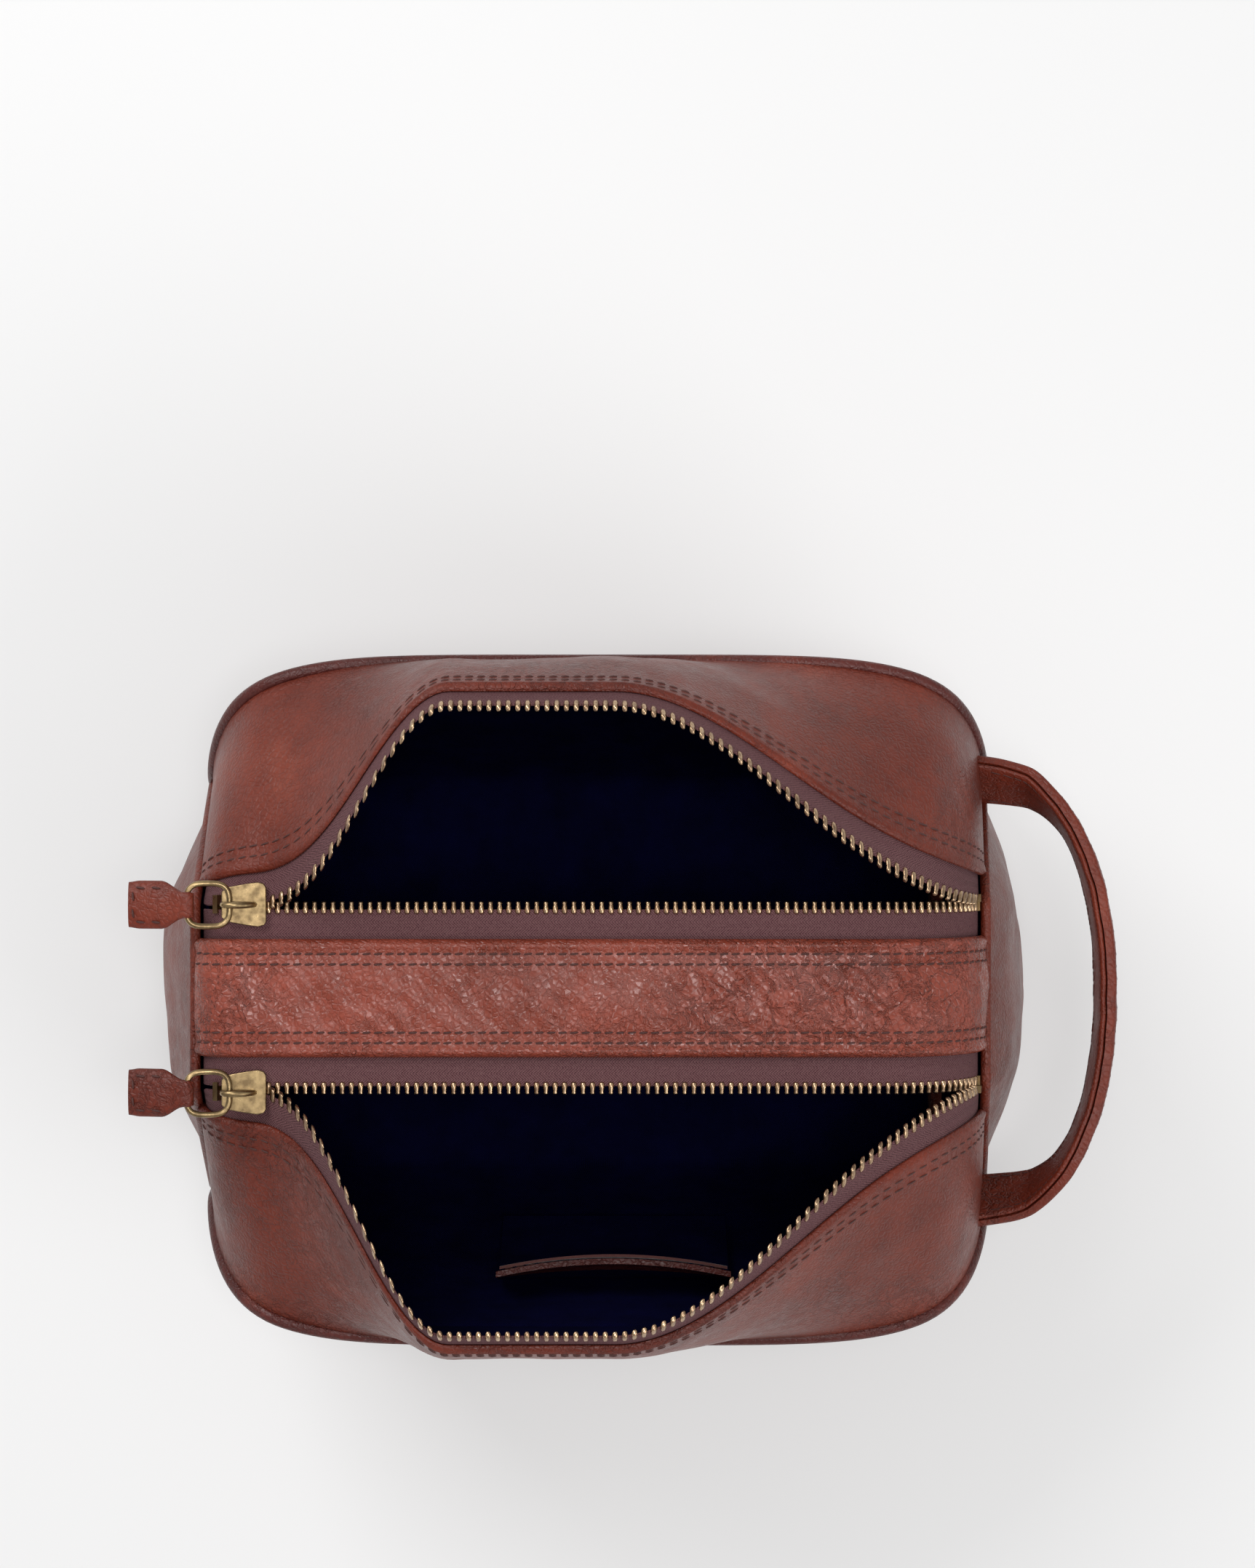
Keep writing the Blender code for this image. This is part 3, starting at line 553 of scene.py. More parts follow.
def end_y(across, share, margin):
    """Distance of a point on an end panel from the centre plane, for shares of its width and height."""
    return across * (wall_y(SIDE_X, CORNER_Z * share, FRONT if across < 0 else BACK) - margin)


def opening_share(x):
    low, high = LEFT_FADE if x < 0 else RIGHT_FADE
    return ease((x - low) / (high - low))


def open_out(point, side):
    """Turns a point of the closed flap about its hinge to where it rests when the zip is open."""
    turn = Matrix.Rotation(-side * opening_share(point.x) * OPENING[side], 3, "X")
    return HINGE[side] + turn @ (point - HINGE[side])


def flap_edge(s, side):
    """The flap's edge at the piping, opposite a place on the zip."""
    x = max(-SIDE_X, min(SIDE_X, crown(s)[0] * SIDE_X / CROWN_REACH))
    z = piping_height(x)
    return Vector((x, side * wall_y(x, z, side), z))


def flap_width(s, side):
    return (flap_edge(s, side) - crown_point(s, side * ZIP_Y)).length


def flap_point(s, across, depth, side):
    """A point of the open flap, this far across from the zip's centre line and below its surface."""
    start = crown_point(s, side * ZIP_Y)
    edge = flap_edge(s, side)
    chord = edge - start
    along = (crown_point(s + 0.001, 0) - crown_point(s - 0.001, 0)).normalized()
    out = along.cross(chord).normalized() * side
    if out.z < 0 and abs(out.x) < 0.5:
        out = -out
    share = across / chord.length
    taper = ease(min(s - LEFT_END, RIGHT_END - s) / CROWN_FADE)
    rise = FLAP_CROWN * taper * 4 * share * (1 - share)
    point = start + chord * share + out * (rise - depth)
    slip = edge - open_out(edge, side)
    return open_out(point, side) + slip * max(0.0, min(1.0, share)) ** 4


# Leather


def flap_place(side):
    """Leather of a flap, with the slack of soft hide in it."""

    def place(s, across, depth):
        flat = flap_point(s, across, 0.0, side)
        width = flap_width(s, side)
        slack = ease((across - 0.018) / 0.02) * ease((width - across) / 0.012)
        ends = ease(min(s - LEFT_END, RIGHT_END - s) / 0.02)
        wave = 0.0011 * ripple(flat, 0.045, 3.1 + side) + 0.00045 * ripple(flat, 0.014, 7.7 * side)
        return flap_point(s, across, depth - slack * ends * wave, side)

    return place


def crown_place(s, across, depth):
    """Leather of the centre strip, with fine wrinkles across it."""
    spot = crown_point(s, across)
    inside = ease((STRIP_HALF - abs(across) - 0.004) / 0.006)
    creases = Vector((spot.x + spot.y * 0.7, spot.y * 0.45, spot.z))
    fine = ripple(creases, 0.0047, 1.3) + 0.5 * ripple(creases, 0.0023, 8.8)
    fine *= 0.4 + abs(ripple(spot, 0.03, 4.0)) * 2
    lift = inside * (0.00046 * fine + 0.00050 * ripple(spot, 0.017, 5.2))
    return crown_point(s, across, depth - lift)


def half_stations(half):
    """Stations along the crown for the left or right half of a flap. They meet at the middle."""
    if half < 0:
        return spread(LEFT_END + 0.0002, LEFT_STRAIGHT, 8)[:-1] + spread(LEFT_STRAIGHT, 0.0, 56)
    return spread(0.0, RIGHT_STRAIGHT, 44)[:-1] + spread(RIGHT_STRAIGHT, RIGHT_END - 0.0002, 24)


def ride_flap(piece):
    """Bakes the world transform of a piece of half a flap into its mesh."""
    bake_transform(piece)


HALVES = ((-1, "left"), (1, "right"))


def make_half_flap(side, half, half_name):
    """One half of a flap: leather, facing, tape, teeth and stitching."""
    name = NAME[side]
    place = flap_place(side)
    stations = half_stations(half)

    def leather_loop(s):
        high = flap_width(s, side) - PIPING_RADIUS * 0.6
        return sheet_section(LEATHER_EDGE, high, 30, LEATHER + 0.0006, roll=0.0005)

    def facing_loop(s):
        return sheet_section(TAPE_HIDDEN, flap_width(s, side) - 0.0008, 12, FABRIC)

    def tape_loop(s):
        return sheet_section(TAPE_EDGE, TAPE_HIDDEN, 8, TAPE)

    def below(extra):
        return lambda s, a, d: flap_point(s, a, d + extra, side)

    def half_sheet(part, loop, on, skin):
        return loft(f"{name}_{part}_{half_name}", stations, loop, on, skin, sharp=50)

    leather = half_sheet("flap", leather_loop, place, LEATHER_SKIN)
    facing = half_sheet("facing", facing_loop, below(LEATHER + 0.0012), LINING_SKIN)
    tape = half_sheet("outer_tape", tape_loop, below(ZIP_DEPTH), TAPE_SKIN)
    sewn_from = stations[0] + (0.003 if half < 0 else 0)
    sewn_to = stations[-1] - (0.003 if half > 0 else 0)
    rows = []
    for inset in FLAP_SEAMS:
        rows.append((lambda s, a, d: place(s, a, d + 0.00005), sewn_from, sewn_to, LEATHER_EDGE + inset))
    seam = stitches(f"{name}_flap_stitches_{half_name}", rows)
    first = max(stations[0], TEETH_START)
    last = stations[-1] - (0.004 if half > 0 else 0.0)
    teeth = make_teeth(f"{name}_outer_teeth_{half_name}", below(ZIP_DEPTH + TAPE / 2), first, last, 0.5)
    for piece in (leather, facing, tape, seam, teeth):
        ride_flap(piece)
    for piece, node, slot in (
        (leather, "flap", "leather"),
        (facing, "flap_facing", "lining"),
        (tape, "outer_tape", "zip_tape"),
        (teeth, "outer_teeth", "zip_brass"),
    ):
        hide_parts(f"{name}_{node}")


def make_flaps():
    for side in (FRONT, BACK):
        for half, half_name in HALVES:
            make_half_flap(side, half, half_name)


# Zip teeth


# A tooth from its root to its rounded head: (across, share of width, share of height)
TOOTH_RINGS = (
    (CORD_BACK + 0.0001, 0.72, 0.70),
    (CORD_BACK - 0.0003, 1.00, 0.96),
    (CORD_BACK - 0.0012, 1.02, 1.00),
    (0.0006, 0.92, 0.92),
    (0.0001, 0.74, 0.80),
    (-0.0004, 0.90, 0.84),
    (-TOOTH_TIP + 0.0001, 0.76, 0.66),
    (-TOOTH_TIP, 0.35, 0.34),
)


def squared(value):
    """A cosine or sine pushed outwards, so that a circle becomes a rounded square."""
    return math.copysign(min(1.0, abs(value) * 1.18), value)


def tooth_template():
    """One tooth as loops of (along, across, up), in metres."""
    loops = []
    for across, wide, tall in TOOTH_RINGS:
        loop = []
        for k in range(8):
            angle = math.pi / 8 + k * math.pi / 4
            x = squared(math.cos(angle)) * TOOTH_WIDTH / 2 * wide
            z = squared(math.sin(angle)) * TOOTH_HEIGHT / 2 * tall
            loop.append((x, across, z))
        loops.append(loop)
    return loops


def make_teeth(name, place, start, end, phase):
    """A row of separate metal teeth. place(s, across, depth) gives a point."""
    bm = bmesh.new()
    template = tooth_template()
    k = math.ceil((start - TEETH_START) / TOOTH_PITCH - phase)
    while TEETH_START + (k + phase) * TOOTH_PITCH < end - TOOTH_WIDTH * 0.3:
        centre = TEETH_START + (k + phase) * TOOTH_PITCH
        tilt = 0.00005 * math.sin(k * 12.9)
        rings = []
        for loop in template:
            rings.append([bm.verts.new(place(centre + x + tilt, a, -z)) for x, a, z in loop])
        bridge(bm, rings)
        k += 1
    return add_piece(name, bm, TEETH_SKIN)


def inner_place(side, extra):
    return lambda s, a, d: crown_point(s, side * (ZIP_Y - a), d + extra)


def crown_stations(left, straight, right, trim):
    """Stations along the whole crown, with these counts in its three stretches, trimmed at both ends."""
    stations = spread(LEFT_END + trim, LEFT_STRAIGHT, left)[:-1]
    stations += spread(LEFT_STRAIGHT, RIGHT_STRAIGHT, straight)[:-1]
    return stations + spread(RIGHT_STRAIGHT, RIGHT_END - trim, right)


def make_inner_zips():
    """The fixed side of each zip, next to the centre strip: tape and teeth."""
    stations = crown_stations(8, 40, 24, -0.0004)
    for side in (FRONT, BACK):
        name = NAME[side]
        section = sheet_section(TAPE_EDGE, TAPE_HIDDEN, 8, TAPE)
        place = inner_place(side, ZIP_DEPTH)
        tape = loft(f"{name}_inner_tape_cloth", stations, lambda s, loop=section: loop, place, TAPE_SKIN)
        place = inner_place(side, ZIP_DEPTH + TAPE / 2)
        teeth = make_teeth(f"{name}_inner_teeth_row", place, TEETH_START, RIGHT_END - 0.004, 0.0)
        fit(tape, "bag_body", f"{name}_inner_tape")
        fit(teeth, "bag_body", f"{name}_inner_teeth")


def make_strip():
    """The padded centre strip with rolled edges and two rows of stitching along each side."""
    section = sheet_section(-STRIP_HALF, STRIP_HALF, 48, LEATHER + 0.0004, STRIP_SWELL, 0.0007)
    stations = crown_stations(12, 200, 40, 0.0015)
    strip = loft("centre_strip_leather", stations, lambda s: section, crown_place, STRIP_SKIN)
    rows = []
    for side in (-1, 1):
        for inset in STRIP_SEAMS:
            across = side * (STRIP_HALF - inset)
            share = (across + STRIP_HALF) / (2 * STRIP_HALF)
            rise = STRIP_SWELL * 4 * share * (1 - share)

            def on_strip(s, a, d, rise=rise):
                return crown_place(s, a, d - rise)

            rows.append((on_strip, LEFT_END + 0.003, RIGHT_END - 0.003, across))
    seams = stitches("centre_strip_stitches", rows)
    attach(seams, "bag_body")
    fit(strip, "bag_body", "centre_strip")


# Walls


def wall_place(side):
    def place(x, z_share, depth):
        z = mix(0.0052, piping_height(x, 0.0012), z_share)
        spot = Vector((x, side * wall_y(x, z, side), z))
        inside = math.sin(math.pi * z_share) * ease((SIDE_X - abs(x)) / 0.02)
        sag = 0.0022 * ripple(spot, 0.060, 9.1 + side) + 0.0006 * ripple(spot, 0.018, 2.3)
        y = spot.y + side * (inside * sag - depth)
        return Vector((x, y, z))

    return place


def end_place(end):
    def place(share, z_share, depth):
        y = end_y(share, z_share, 0.0006)
        z = mix(0.0045, seam_height(y, end, 0.0016), z_share)
        spot = Vector((end * end_x(y, z, end), y, z))
        inside = math.sin(math.pi * z_share) * (1 - share**2)
        dent = 0.0030 * ripple(spot, 0.042, 4.4 + end) + 0.0010 * ripple(spot, 0.015, 1.9)
        return Vector((spot.x + end * (inside * dent - depth), y, z))

    return place


def grid_sheet(name, us, vs, thickness, place, material):
    """A closed sheet over two lists of parameters, with place(u, v, depth) giving its points."""
    bm = bmesh.new()
    face = [[bm.verts.new(place(u, v, 0.0)) for v in vs] for u in us]
    back = [[bm.verts.new(place(u, v, thickness)) for v in vs] for u in us]
    for i in range(len(us) - 1):
        for j in range(len(vs) - 1):
            bm.faces.new((face[i][j], face[i][j + 1], face[i + 1][j + 1], face[i + 1][j]))
            bm.faces.new((back[i][j], back[i + 1][j], back[i + 1][j + 1], back[i][j + 1]))
        for j in (0, len(vs) - 1):
            bm.faces.new((face[i][j], face[i + 1][j], back[i + 1][j], back[i][j]))
    for j in range(len(vs) - 1):
        for i in (0, len(us) - 1):
            bm.faces.new((face[i][j], face[i][j + 1], back[i][j + 1], back[i][j]))
    return add_piece(name, bm, material, sharp=60)


def piping_path(side):
    """The closed loop of piping round the front or back panel."""
    bottom = 0.0032
    top = []
    for x in spread_to_ends(-SIDE_X, SIDE_X, 90):
        z = piping_height(x)
        top.append(Vector((x, side * wall_y(x, z, side), z)))
    right = []
    for z in spread(CORNER_Z, 0.0090, 16)[1:]:
        right.append(Vector((SIDE_X, side * wall_y(SIDE_X, z, side), z)))
    corner = [Vector((SIDE_X - 0.0004, side * wall_y(SIDE_X, 0.006, side), 0.0058))]
    low = []
    for x in spread_to_ends(SIDE_X * 0.985, -SIDE_X * 0.985, 60):
        low.append(Vector((x, side * outline(x, BASE_HALF_WIDTH, BASE_POWER), bottom)))
    left = [Vector((-p.x, p.y, p.z)) for p in (right + corner)[::-1]]
    return top + right + corner + low + left


WELT_HALF_SPAN = 0.0580
WELT_RADIUS = 0.0015


def make_walls():
    """The front, back and end panels, the piping and the rolled welts."""
    shares = spread(0, 1, 40)
    for side in (FRONT, BACK):
        name = NAME[side]
        reach = SIDE_X - 0.0012
        stations = spread_to_ends(-reach, reach, 80)
        place = wall_place(side)
        panel = grid_sheet(f"{name}_panel_leather", stations, shares, LEATHER, place, LEATHER_SKIN)
        piping = tube(f"{name}_piping_cord", piping_path(side), PIPING_RADIUS, 14, PIPING_SKIN, closed=True)
        fit(panel, "bag_body", f"{name}_panel")
        fit(piping, "bag_body", f"{name}_piping")
    for end, name in ((-1, "left"), (1, "right")):
        place = end_place(end)
        panel = grid_sheet(f"{name}_end_leather", spread(-1, 1, 60), shares, LEATHER, place, LEATHER_SKIN)
        path = []
        for y in spread(-WELT_HALF_SPAN, WELT_HALF_SPAN, 80):
            z = seam_height(y, end) + 0.0002
            path.append(Vector((end * (end_x(y, z, end) + 0.0002), y, z)))
        welt = tube(f"{name}_welt_cord", path, WELT_RADIUS, 12, LEATHER_SKIN)
        fit(panel, "bag_body", f"{name}_end_panel")
        fit(welt, "bag_body", f"{name}_welt")


BASE_REACH = 0.1083


def base_place(x, share, depth):
    half = BASE_HALF_WIDTH - 0.0024
    along = min(0.97, abs(x) / (BASE_REACH + 0.0002))
    y = share * half * (1 - along**BASE_POWER) ** (1 / BASE_POWER)
    return Vector((x, y, depth + 0.0001 * ripple(Vector((x, y, 0)), 0.02)))


def make_base():
    """The base's leather. The board and the divider keep their CAD shapes."""
    stations = spread_to_ends(-BASE_REACH, BASE_REACH, 60)
    base = grid_sheet("base_leather", stations, spread(-1, 1, 40), LEATHER, base_place, LEATHER_SKIN)
    fit(base, "bag_body", "base_panel")
    dress("base_board", SUEDE_SKIN)
    dress("divider", LINING_SKIN)


# Lining


def lining_section(x, side):
    """The lining's line across the bag: down the wall, over the floor, up the divider to the tape."""
    points = []
    for z in spread(piping_height(x, 0.0030), 0.016, 12):
        points.append((wall_y(x, z, side) - LINING_GAP, z))
    foot = wall_y(x, 0.010, side) - LINING_GAP
    points += [(foot - 0.001, 0.0090), (foot - 0.004, 0.0058), (foot - 0.010, 0.0050)]
    points += [(y, 0.0048) for y in spread(foot - 0.016, 0.012, 6)]
    points += [(0.0060, 0.0054), (0.0026, 0.0080), (0.0014, 0.0140)]
    top = crown_height(x)
    points += [(0.0012, z) for z in spread(0.024, top - 0.040, 7)]
    points += [(0.0022, top - 0.026), (0.0060, top - 0.014)]
    return points + [(0.0120, top - 0.0072), (0.0190, top - 0.0044)]


def make_lining():
    """A sewn lining in each compartment, with loose folds, plus the end pieces."""
    for side in (FRONT, BACK):
        name = NAME[side]
        reach = SIDE_X - 0.0085
        count = len(lining_section(0.0, side))

        def place(x, index, depth, side=side):
            points = lining_section(x, side)
            before, after = points[max(0, index - 1)], points[min(count - 1, index + 1)]
            ty, tz = after[0] - before[0], after[1] - before[1]
            size = math.hypot(ty, tz) or 1.0
            ny, nz = tz / size, -ty / size
            y, z = points[index]
            spot = Vector((x, side * y, z))
            loose = math.sin(math.pi * index / (count - 1)) * 0.0016
            fold = loose * (ripple(spot, 0.030, 6.0 + side) - 0.35)
            fold = min(0.0, fold) if z < 0.02 else fold
            y += ny * (depth + abs(fold))
            z += nz * (depth + abs(fold))
            return Vector((x, side * max(0.0008, y), z))

        stations = spread_to_ends(-reach, reach, 70)
        bag = grid_sheet(f"{name}_lining_cloth", stations, range(count), -FABRIC, place, LINING_SKIN)
        fit(bag, "bag_body", f"{name}_lining")
    for end, name in ((-1, "left"), (1, "right")):

        def end_lining(across, share, depth, end=end):
            y = end_y(across, share, 0.0050)
            z = mix(0.006, seam_height(y, end, 0.0045), share)
            spot = Vector((end * end_x(y, z, end), y, z))
            fold = 0.0012 * ripple(spot, 0.03, 8.0 + end)
            return Vector((spot.x - end * (0.0040 + abs(fold) + depth), y, z))

        across, up = spread(-1, 1, 40), spread(0, 1, 30)
        cloth = grid_sheet(f"{name}_end_lining_cloth", across, up, FABRIC, end_lining, LINING_SKIN)
        fit(cloth, "bag_body", f"{name}_end_lining")


def make_pocket():
    """The slip pocket on the front wall: its cloth, the leather welt at its mouth, and a raw lower edge."""
    low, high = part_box("pocket_bag")[0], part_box("pocket_welt")[1]
    welt_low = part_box("pocket_welt")[0].z

    def on_wall(x, z, depth):
        sag = 0.0110 * ease((z - 0.076) / 0.026) * (1 - 0.35 * ((x - 0.0045) / 0.034) ** 2)
        return Vector((x, FRONT * (wall_y(x, z, FRONT) - 0.0062 - depth - sag), z - 0.25 * sag))

    def beyond(extra):
        return lambda x, z, d: on_wall(x, z, d + extra)

    xs, zs = spread(low.x, high.x, 30), spread(low.z, welt_low, 20)
    cloth = grid_sheet("pocket_cloth", xs, zs, FABRIC, on_wall, LINING_SKIN)
    xs, zs = spread(low.x, high.x, 40), spread(welt_low - 0.001, high.z, 10)
    welt = grid_sheet("pocket_welt_leather", xs, zs, LEATHER, beyond(-0.0002), PIPING_SKIN)
    xs, zs = spread(low.x + 0.001, high.x - 0.001, 30), spread(high.z - 0.0038, high.z - 0.0008, 4)
    lip = grid_sheet("pocket_lip_suede", xs, zs, 0.0008, beyond(0.0018), SUEDE_SKIN)
    rows = [(lambda s, a, d: on_wall(s, a, 0.0017 - d), low.x + 0.002, high.x - 0.002, welt_low + 0.0018)]
    seam = stitches("pocket_stitches", rows)
    for piece in (lip, seam):
        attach(piece, "bag_body")
    fit(cloth, "bag_body", "pocket_bag")
    fit(welt, "bag_body", "pocket_welt")


# Carry strap

STRAP_PIVOT = Vector(JOINTS["carry_strap_swing"]["pos_m"])
STRAP_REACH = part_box("strap_outer")[1].x - STRAP_PIVOT.x
STRAP_HALF_SPAN = 0.0630
STRAP_WIDTH = 0.0175
STRAP_POWER = 2.2
STRAP_END_DROP = 0.0080
STRAP_HALF_DEPTH = 0.0026
STRAP_SEAM = 0.185


def strap_frame(t):
    """Centre, outward and width direction of the strap at t, from -1 at its front end to 1 at its back."""

    def centre(u):
        turn = u * math.pi / 2
        power = 2 / STRAP_POWER
        x = STRAP_PIVOT.x + (STRAP_REACH - STRAP_HALF_DEPTH) * abs(math.cos(turn)) ** power
        x -= 0.0085 * ease((abs(u) - 0.78) / 0.22)
        y = (STRAP_HALF_SPAN - STRAP_HALF_DEPTH) * signed_power(math.sin(turn), power) - 0.001
        return Vector((x, y, STRAP_PIVOT.z - STRAP_END_DROP * ease(abs(u) * 2 - 1)))

    middle = centre(t)
    along = (centre(min(1.0, t + 0.004)) - centre(max(-1.0, t - 0.004))).normalized()
    twist = ease((abs(t) - 0.35) / 0.65)
    leaning = Vector((-0.22, math.copysign(0.66, t), 0.72))
    width = (Vector((0, 0, 1)).lerp(leaning, twist)).normalized()
    width = (width - along * width.dot(along)).normalized()
    outward = along.cross(width).normalized()
    if outward.x < 0 and abs(t) < 0.9 or outward.dot(middle - STRAP_PIVOT) < 0:
        outward = -outward
    return middle, outward, width


def strap_place(t, across, depth):
    middle, outward, width = strap_frame(t)
    pucker = 0.00025 * ripple(middle + width * across, 0.006, 3.0)
    return middle + width * across - outward * (depth - STRAP_HALF_DEPTH - pucker)


def strap_row(depth):
    """Where a row of stitches at this depth lies, for distances along the strap's seam."""
    return lambda s, a, d: strap_place(s / STRAP_SEAM * 1.9, a, depth + d)


def make_strap():
    """The carry strap: a padded outer layer with rolled edges, a flat inner layer, and stitching."""
    stations = spread(-1.0, 1.0, 150)
    half = STRAP_WIDTH / 2

    def outer_loop(t):
        loop = []
        for k in range(17):
            angle = math.pi * k / 16
            a = -half * math.cos(angle)
            loop.append((a, 0.0016 - 0.0016 * math.sin(angle) ** 0.6))
        for a in spread(half - 0.0002, -half + 0.0002, 9):
            loop.append((a, 0.0033))
        return loop

    def inner_loop(t):
        return sheet_section(-half + 0.0004, half - 0.0004, 9, 0.0015)

    outer = loft("strap_outer_leather", stations, outer_loop, strap_place, LEATHER_SKIN, sharp=50)

    def under_place(t, across, depth):
        return strap_place(t, across, depth + 0.0035)

    inner = loft("strap_inner_leather", stations, inner_loop, under_place, LEATHER_SKIN)
    rows = []
    for across in (-half + 0.0022, half - 0.0022):
        for depth in (0.0007, 0.0050):
            rows.append((strap_row(depth), -STRAP_SEAM * 0.48, STRAP_SEAM * 0.48, across))
    seam = stitches("strap_stitches", rows)
    for piece in (outer, inner, seam):
        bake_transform(piece)
    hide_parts("strap_outer", "strap_core")
    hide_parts("strap_inner")


# Slider, bail, ring and tab


# Half outline of a slider plate in plan, from the closed end to the mouth: (along, half width)
SLIDER_OUTLINE = (
    (0.0, 0.0034),
    (0.0012, 0.0046),
    (0.0034, 0.0050),
    (0.0066, 0.0056),
    (0.0098, 0.0060),
    (0.0114, 0.0056),
    (0.0120, 0.0046),
)


PLATE = 0.0012
LIP = 0.0008
LIP_FROM, LIP_TO = 0.0007, 0.0022
POST = {"radius1": 0.0012, "radius2": 0.0012, "depth": 0.0034}


def make_slider(side):
    """The slider: two shaped plates with turned lips, and the post between them."""
    name = NAME[side]
    low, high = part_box(f"{name}_slider")
    middle = side * ZIP_Y
    bm = bmesh.new()

    def plate_mesh(z_low, z_high):
        loop = [(low.x + a, middle - w) for a, w in SLIDER_OUTLINE]
        loop += [(low.x + a, middle + w) for a, w in SLIDER_OUTLINE[::-1]]
        base = [bm.verts.new((x, y, z_low)) for x, y in loop]
        top = [bm.verts.new((x, y, z_high)) for x, y in loop]
        bm.faces.new(base[::-1])
        bm.faces.new(top)
        for k in range(len(loop)):
            n = (k + 1) % len(loop)
            bm.faces.new((base[k], base[n], top[n], top[k]))

    plate_mesh(low.z, low.z + PLATE)
    plate_mesh(high.z - PLATE, high.z)
    z_mid = (low.z + high.z) / 2
    for up in (-1, 1):
        for edge in (-1, 1):
            points = [(low.x + a, middle + edge * (w - 0.0001)) for a, w in SLIDER_OUTLINE[1:6]]
            z0 = z_mid + up * LIP_FROM
            z1 = z_mid + up * LIP_TO
            base = [bm.verts.new((x, y, z0)) for x, y in points]
            top = [bm.verts.new((x, y, z1)) for x, y in points]
            base_in = [bm.verts.new((x, y - edge * LIP, z0)) for x, y in points]
            top_in = [bm.verts.new((x, y - edge * LIP, z1)) for x, y in points]
            for k in range(len(points) - 1):
                bm.faces.new((base[k], base[k + 1], top[k + 1], top[k]))
                bm.faces.new((base_in[k], top_in[k], top_in[k + 1], base_in[k + 1]))
                bm.faces.new((base[k], base_in[k], base_in[k + 1], base[k + 1]))
                bm.faces.new((top[k], top[k + 1], top_in[k + 1], top_in[k]))
            for k in (0, -1):
                bm.faces.new((base[k], top[k], top_in[k], base_in[k]))
    post = bmesh.ops.create_cone(bm, cap_ends=True, segments=20, **POST)
    spot = Vector((high.x - 0.0018, middle + side * 0.0022, z_mid))
    bmesh.ops.translate(bm, verts=post["verts"], vec=spot)
    slider = add_piece(f"{name}_slider_plates", bm, BRASS_SKIN, sharp=35)
    edges = slider.modifiers.new("worn_edges", "BEVEL")
    edges.width = 0.00022
    edges.segments = 3
    edges.limit_method = "ANGLE"
    fit(slider, f"{name}_slider_body", f"{name}_slider")
    make_bail(name, middle, high.z - 0.0004)
    make_ring(name)
    make_tab(side)


WIRE_RADIUS = 0.0008


def make_bail(name, middle, foot):
    """The arch on top of the slider that holds the ring."""
    bail_low, bail_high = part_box(f"{name}_bail")
    top = bail_high.z - WIRE_RADIUS
    arch = []
    for t in spread(0, 1, 24):
        x = mix(bail_low.x + WIRE_RADIUS, bail_high.x - WIRE_RADIUS, t)
        rise = math.sin(math.pi * t**0.62) ** 0.42
        arch.append(Vector((x, middle, mix(foot, top, rise))))

    def radius(t):
        return 0.00072 + 0.00022 * math.sin(math.pi * t)

    bail = tube(f"{name}_bail_arch", arch, radius, 12, BRASS_SKIN)
    fit(bail, f"{name}_slider_body", f"{name}_bail")


def make_ring(name):
    """The wire ring from the bail to the tab: an oblong with rounded corners."""
    pivot = Vector(JOINTS[f"{name}_ring_swing"]["pos_m"])
    far = Vector(JOINTS[f"{name}_tab_swing"]["pos_m"])
    reach = far - pivot
    low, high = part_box(f"{name}_pull_ring")
    half_width = (high.y - low.y) / 2 - 0.0007
    path = []
    for k in range(64):
        turn = 2 * math.pi * k / 64
        across = signed_power(math.sin(turn), 0.62) * half_width
        along = (1 - signed_power(math.cos(turn), 0.62)) / 2
        path.append(pivot + reach * along + Vector((0, across, 0)))
    ring = tube(f"{name}_ring_wire", path, WIRE_RADIUS, 12, BRASS_SKIN, closed=True)
    fit(ring, f"{name}_ring_body", f"{name}_pull_ring")


TAB_LENGTH, TAB_WIDTH, TAB_THICKNESS = 0.0160, 0.0130, 0.0026


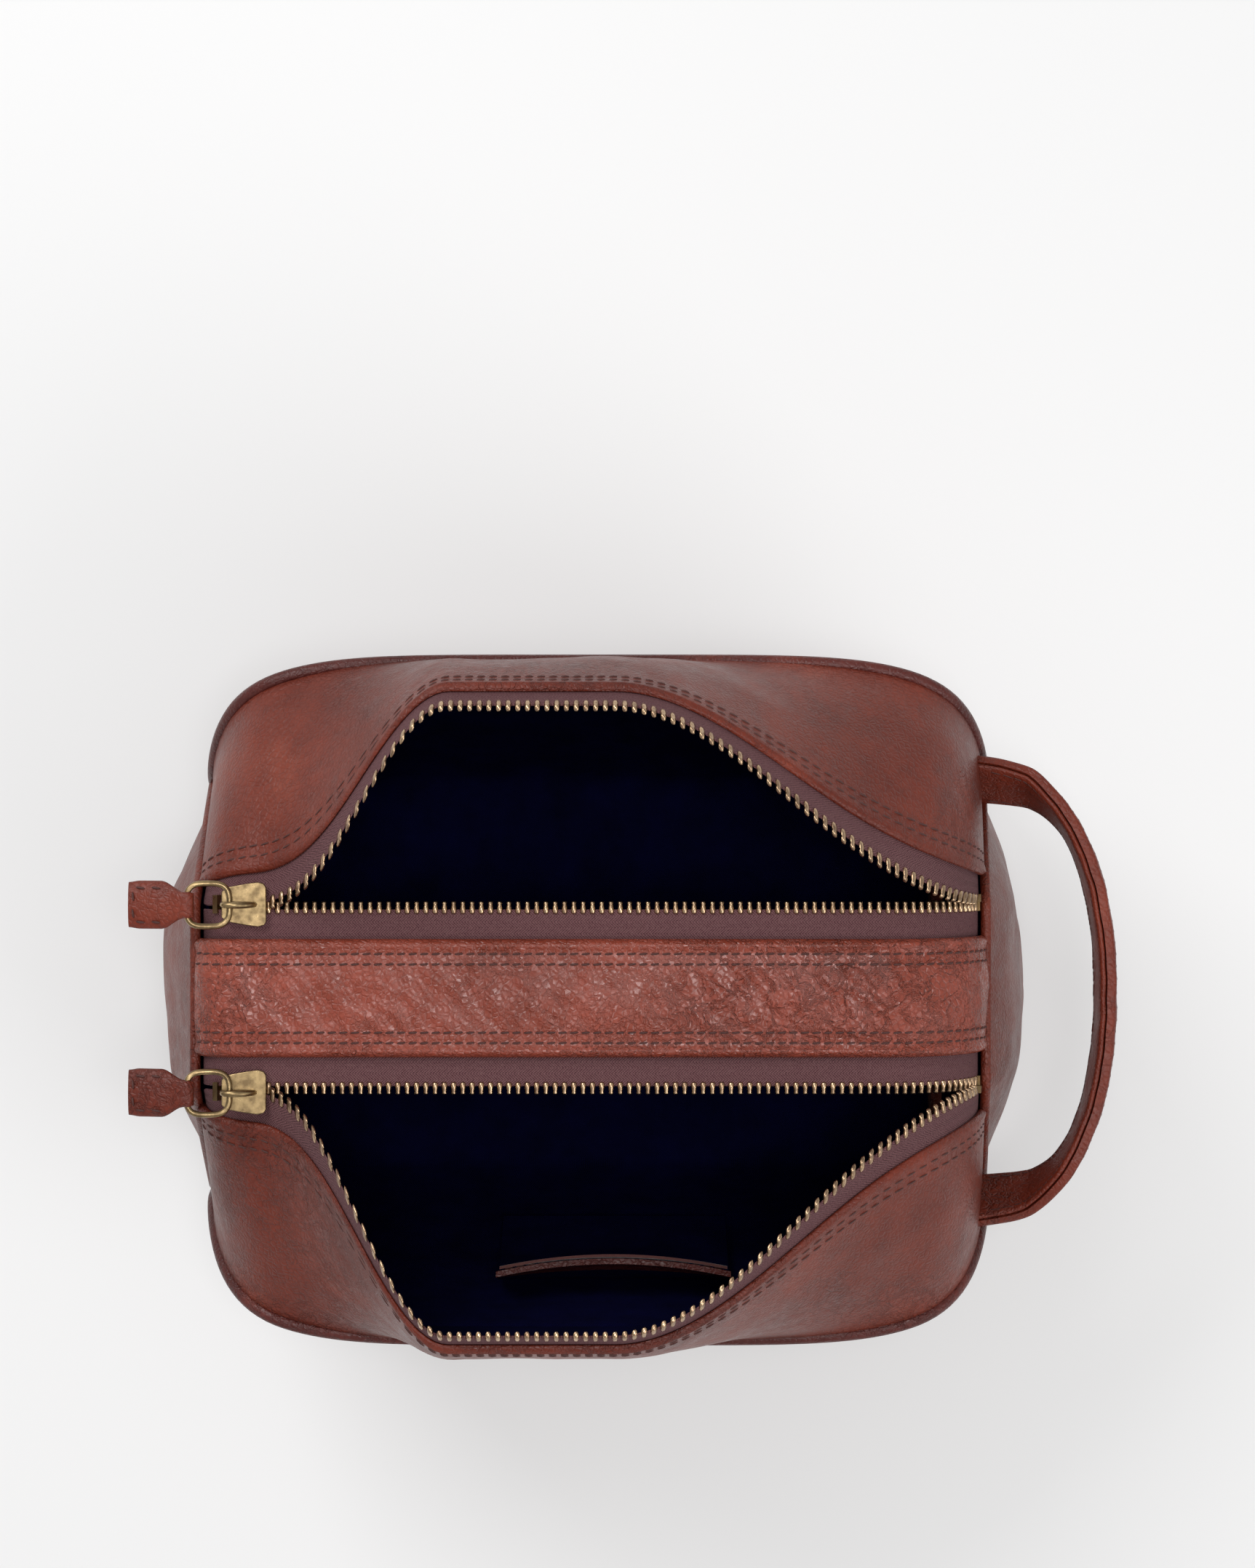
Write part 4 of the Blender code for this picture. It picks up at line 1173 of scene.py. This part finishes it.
def make_tab(side):
    """The folded leather tab, gathered where it passes through the ring, with a border of stitching."""
    name = NAME[side]
    pivot = Vector(JOINTS[f"{name}_tab_swing"]["pos_m"])
    droop = math.radians(8)
    hole = 0.0010

    def half_width(x):
        waist = mix(0.0036, TAB_WIDTH / 2, ease((x - 0.0005) / 0.0065))
        return waist * (1 - 0.06 * ease((x - 0.013) / 0.003))

    def thickness(x):
        return mix(hole + 0.0012, TAB_THICKNESS / 2, ease(x / 0.005))

    def place(x, across, up):
        curl = -0.0010 * (across / (TAB_WIDTH / 2)) ** 2 * ease(x / 0.006)
        sag = -0.0008 * ease((x - 0.006) / 0.010)
        warp = 0.0004 * ripple(Vector((x, across, up)), 0.008, 2.0 + side)
        z = up + curl + sag + warp
        return pivot + Vector((-x * math.cos(droop), across, z - x * math.sin(droop)))

    bm = bmesh.new()
    xs = [-0.0021, -0.0018, -0.0010] + spread(0.0, TAB_LENGTH, 22)
    rings = []
    for x in xs:
        wide = half_width(max(0.0, x)) * (1.0 if x > -0.0015 else 0.9)
        thick = thickness(max(0.0, x)) * math.sqrt(max(0.04, 1 - (min(0.0, x) / 0.0022) ** 2))
        ring = []
        for k in range(28):
            angle = 2 * math.pi * k / 28
            a = signed_power(math.cos(angle), 0.45) * wide
            u = signed_power(math.sin(angle), 0.55) * thick
            ring.append(bm.verts.new(place(x, a, u)))
        rings.append(ring)
    bridge(bm, rings)
    tab = add_piece(f"{name}_tab_leather", bm, LEATHER_SKIN, sharp=60)
    top = TAB_THICKNESS / 2 + 0.0002
    border = 0.0046

    def along_tab(s, a, d):
        return place(s, a, top - d)

    def across_tab(s, a, d):
        return place(a, s, top - d)

    rows = [(along_tab, 0.0060, TAB_LENGTH - 0.0012, across) for across in (-border, border)]
    rows.append((across_tab, -border, border, TAB_LENGTH - 0.0014))
    seam = stitches(f"{name}_tab_stitches", rows)
    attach(seam, f"{name}_tab_body")
    fit(tab, f"{name}_tab_body", f"{name}_pull_tab")


def finish_stops():
    """The crimped stops keep their CAD shape and take the brass finish."""
    for side in NAME.values():
        for stop in ("inner_top_stop", "outer_top_stop", "bottom_stop"):
            dress(f"{side}_{stop}", BRASS_SKIN)


# Stage


def make_stage():
    """A pale floor, soft light from above, and a camera looking straight down."""
    mesh = bpy.data.meshes.new("floor")
    size = 6.0
    corners = [(-size, -size, 0), (size, -size, 0), (size, size, 0), (-size, size, 0)]
    mesh.from_pydata(corners, [], [(0, 1, 2, 3)])
    floor = bpy.data.objects.new("floor", mesh)
    floor.location.z = -0.0002
    bpy.context.scene.collection.objects.link(floor)
    plain = Shade("floor", 0.9)
    plain.shader.inputs["Base Color"].default_value = (0.62, 0.62, 0.62, 1)
    plain.shader.inputs["Emission Color"].default_value = (1, 1, 1, 1)
    plain.shader.inputs["Emission Strength"].default_value = 0.19
    mesh.materials.append(plain.material)

    world = bpy.data.worlds.new("studio")
    world.use_nodes = True
    world.node_tree.nodes["Background"].inputs["Color"].default_value = (1, 1, 1, 1)
    world.node_tree.nodes["Background"].inputs["Strength"].default_value = 0.48
    bpy.context.scene.world = world
    bpy.context.scene.view_settings.view_transform = "Standard"
    aim = Vector((0, 0, 0.1))
    for spot, width, power in (
        ((0.06, 0.05, 1.60), 0.30, 6.0),
        ((-0.60, 0.80, 1.10), 0.70, 10.0),
        ((0.75, -0.50, 0.90), 0.70, 5.0),
    ):
        light = bpy.data.lights.new("soft_box", "AREA")
        light.size = width
        light.energy = power
        lamp = bpy.data.objects.new("soft_box", light)
        lamp.location = spot
        lamp.rotation_mode = "QUATERNION"
        lamp.rotation_quaternion = (aim - Vector(spot)).to_track_quat("-Z", "Y")
        bpy.context.scene.collection.objects.link(lamp)

    distance = 0.90  # from the camera to the plane of the centre strip
    field = 0.4227  # height of that plane that the picture holds
    camera = bpy.data.cameras.new("camera")
    camera.sensor_width = 36.0
    camera.lens = 36.0 * distance / field
    eye = bpy.data.objects.new("camera", camera)
    eye.location = (0.0085, 0.0578, BAG_HEIGHT + distance)
    bpy.context.scene.collection.objects.link(eye)
    bpy.context.scene.camera = eye


make_walls()
make_base()
make_lining()
make_pocket()
make_inner_zips()
make_strip()
make_flaps()
make_strap()
for bag_side in (FRONT, BACK):
    make_slider(bag_side)
finish_stops()
make_stage()
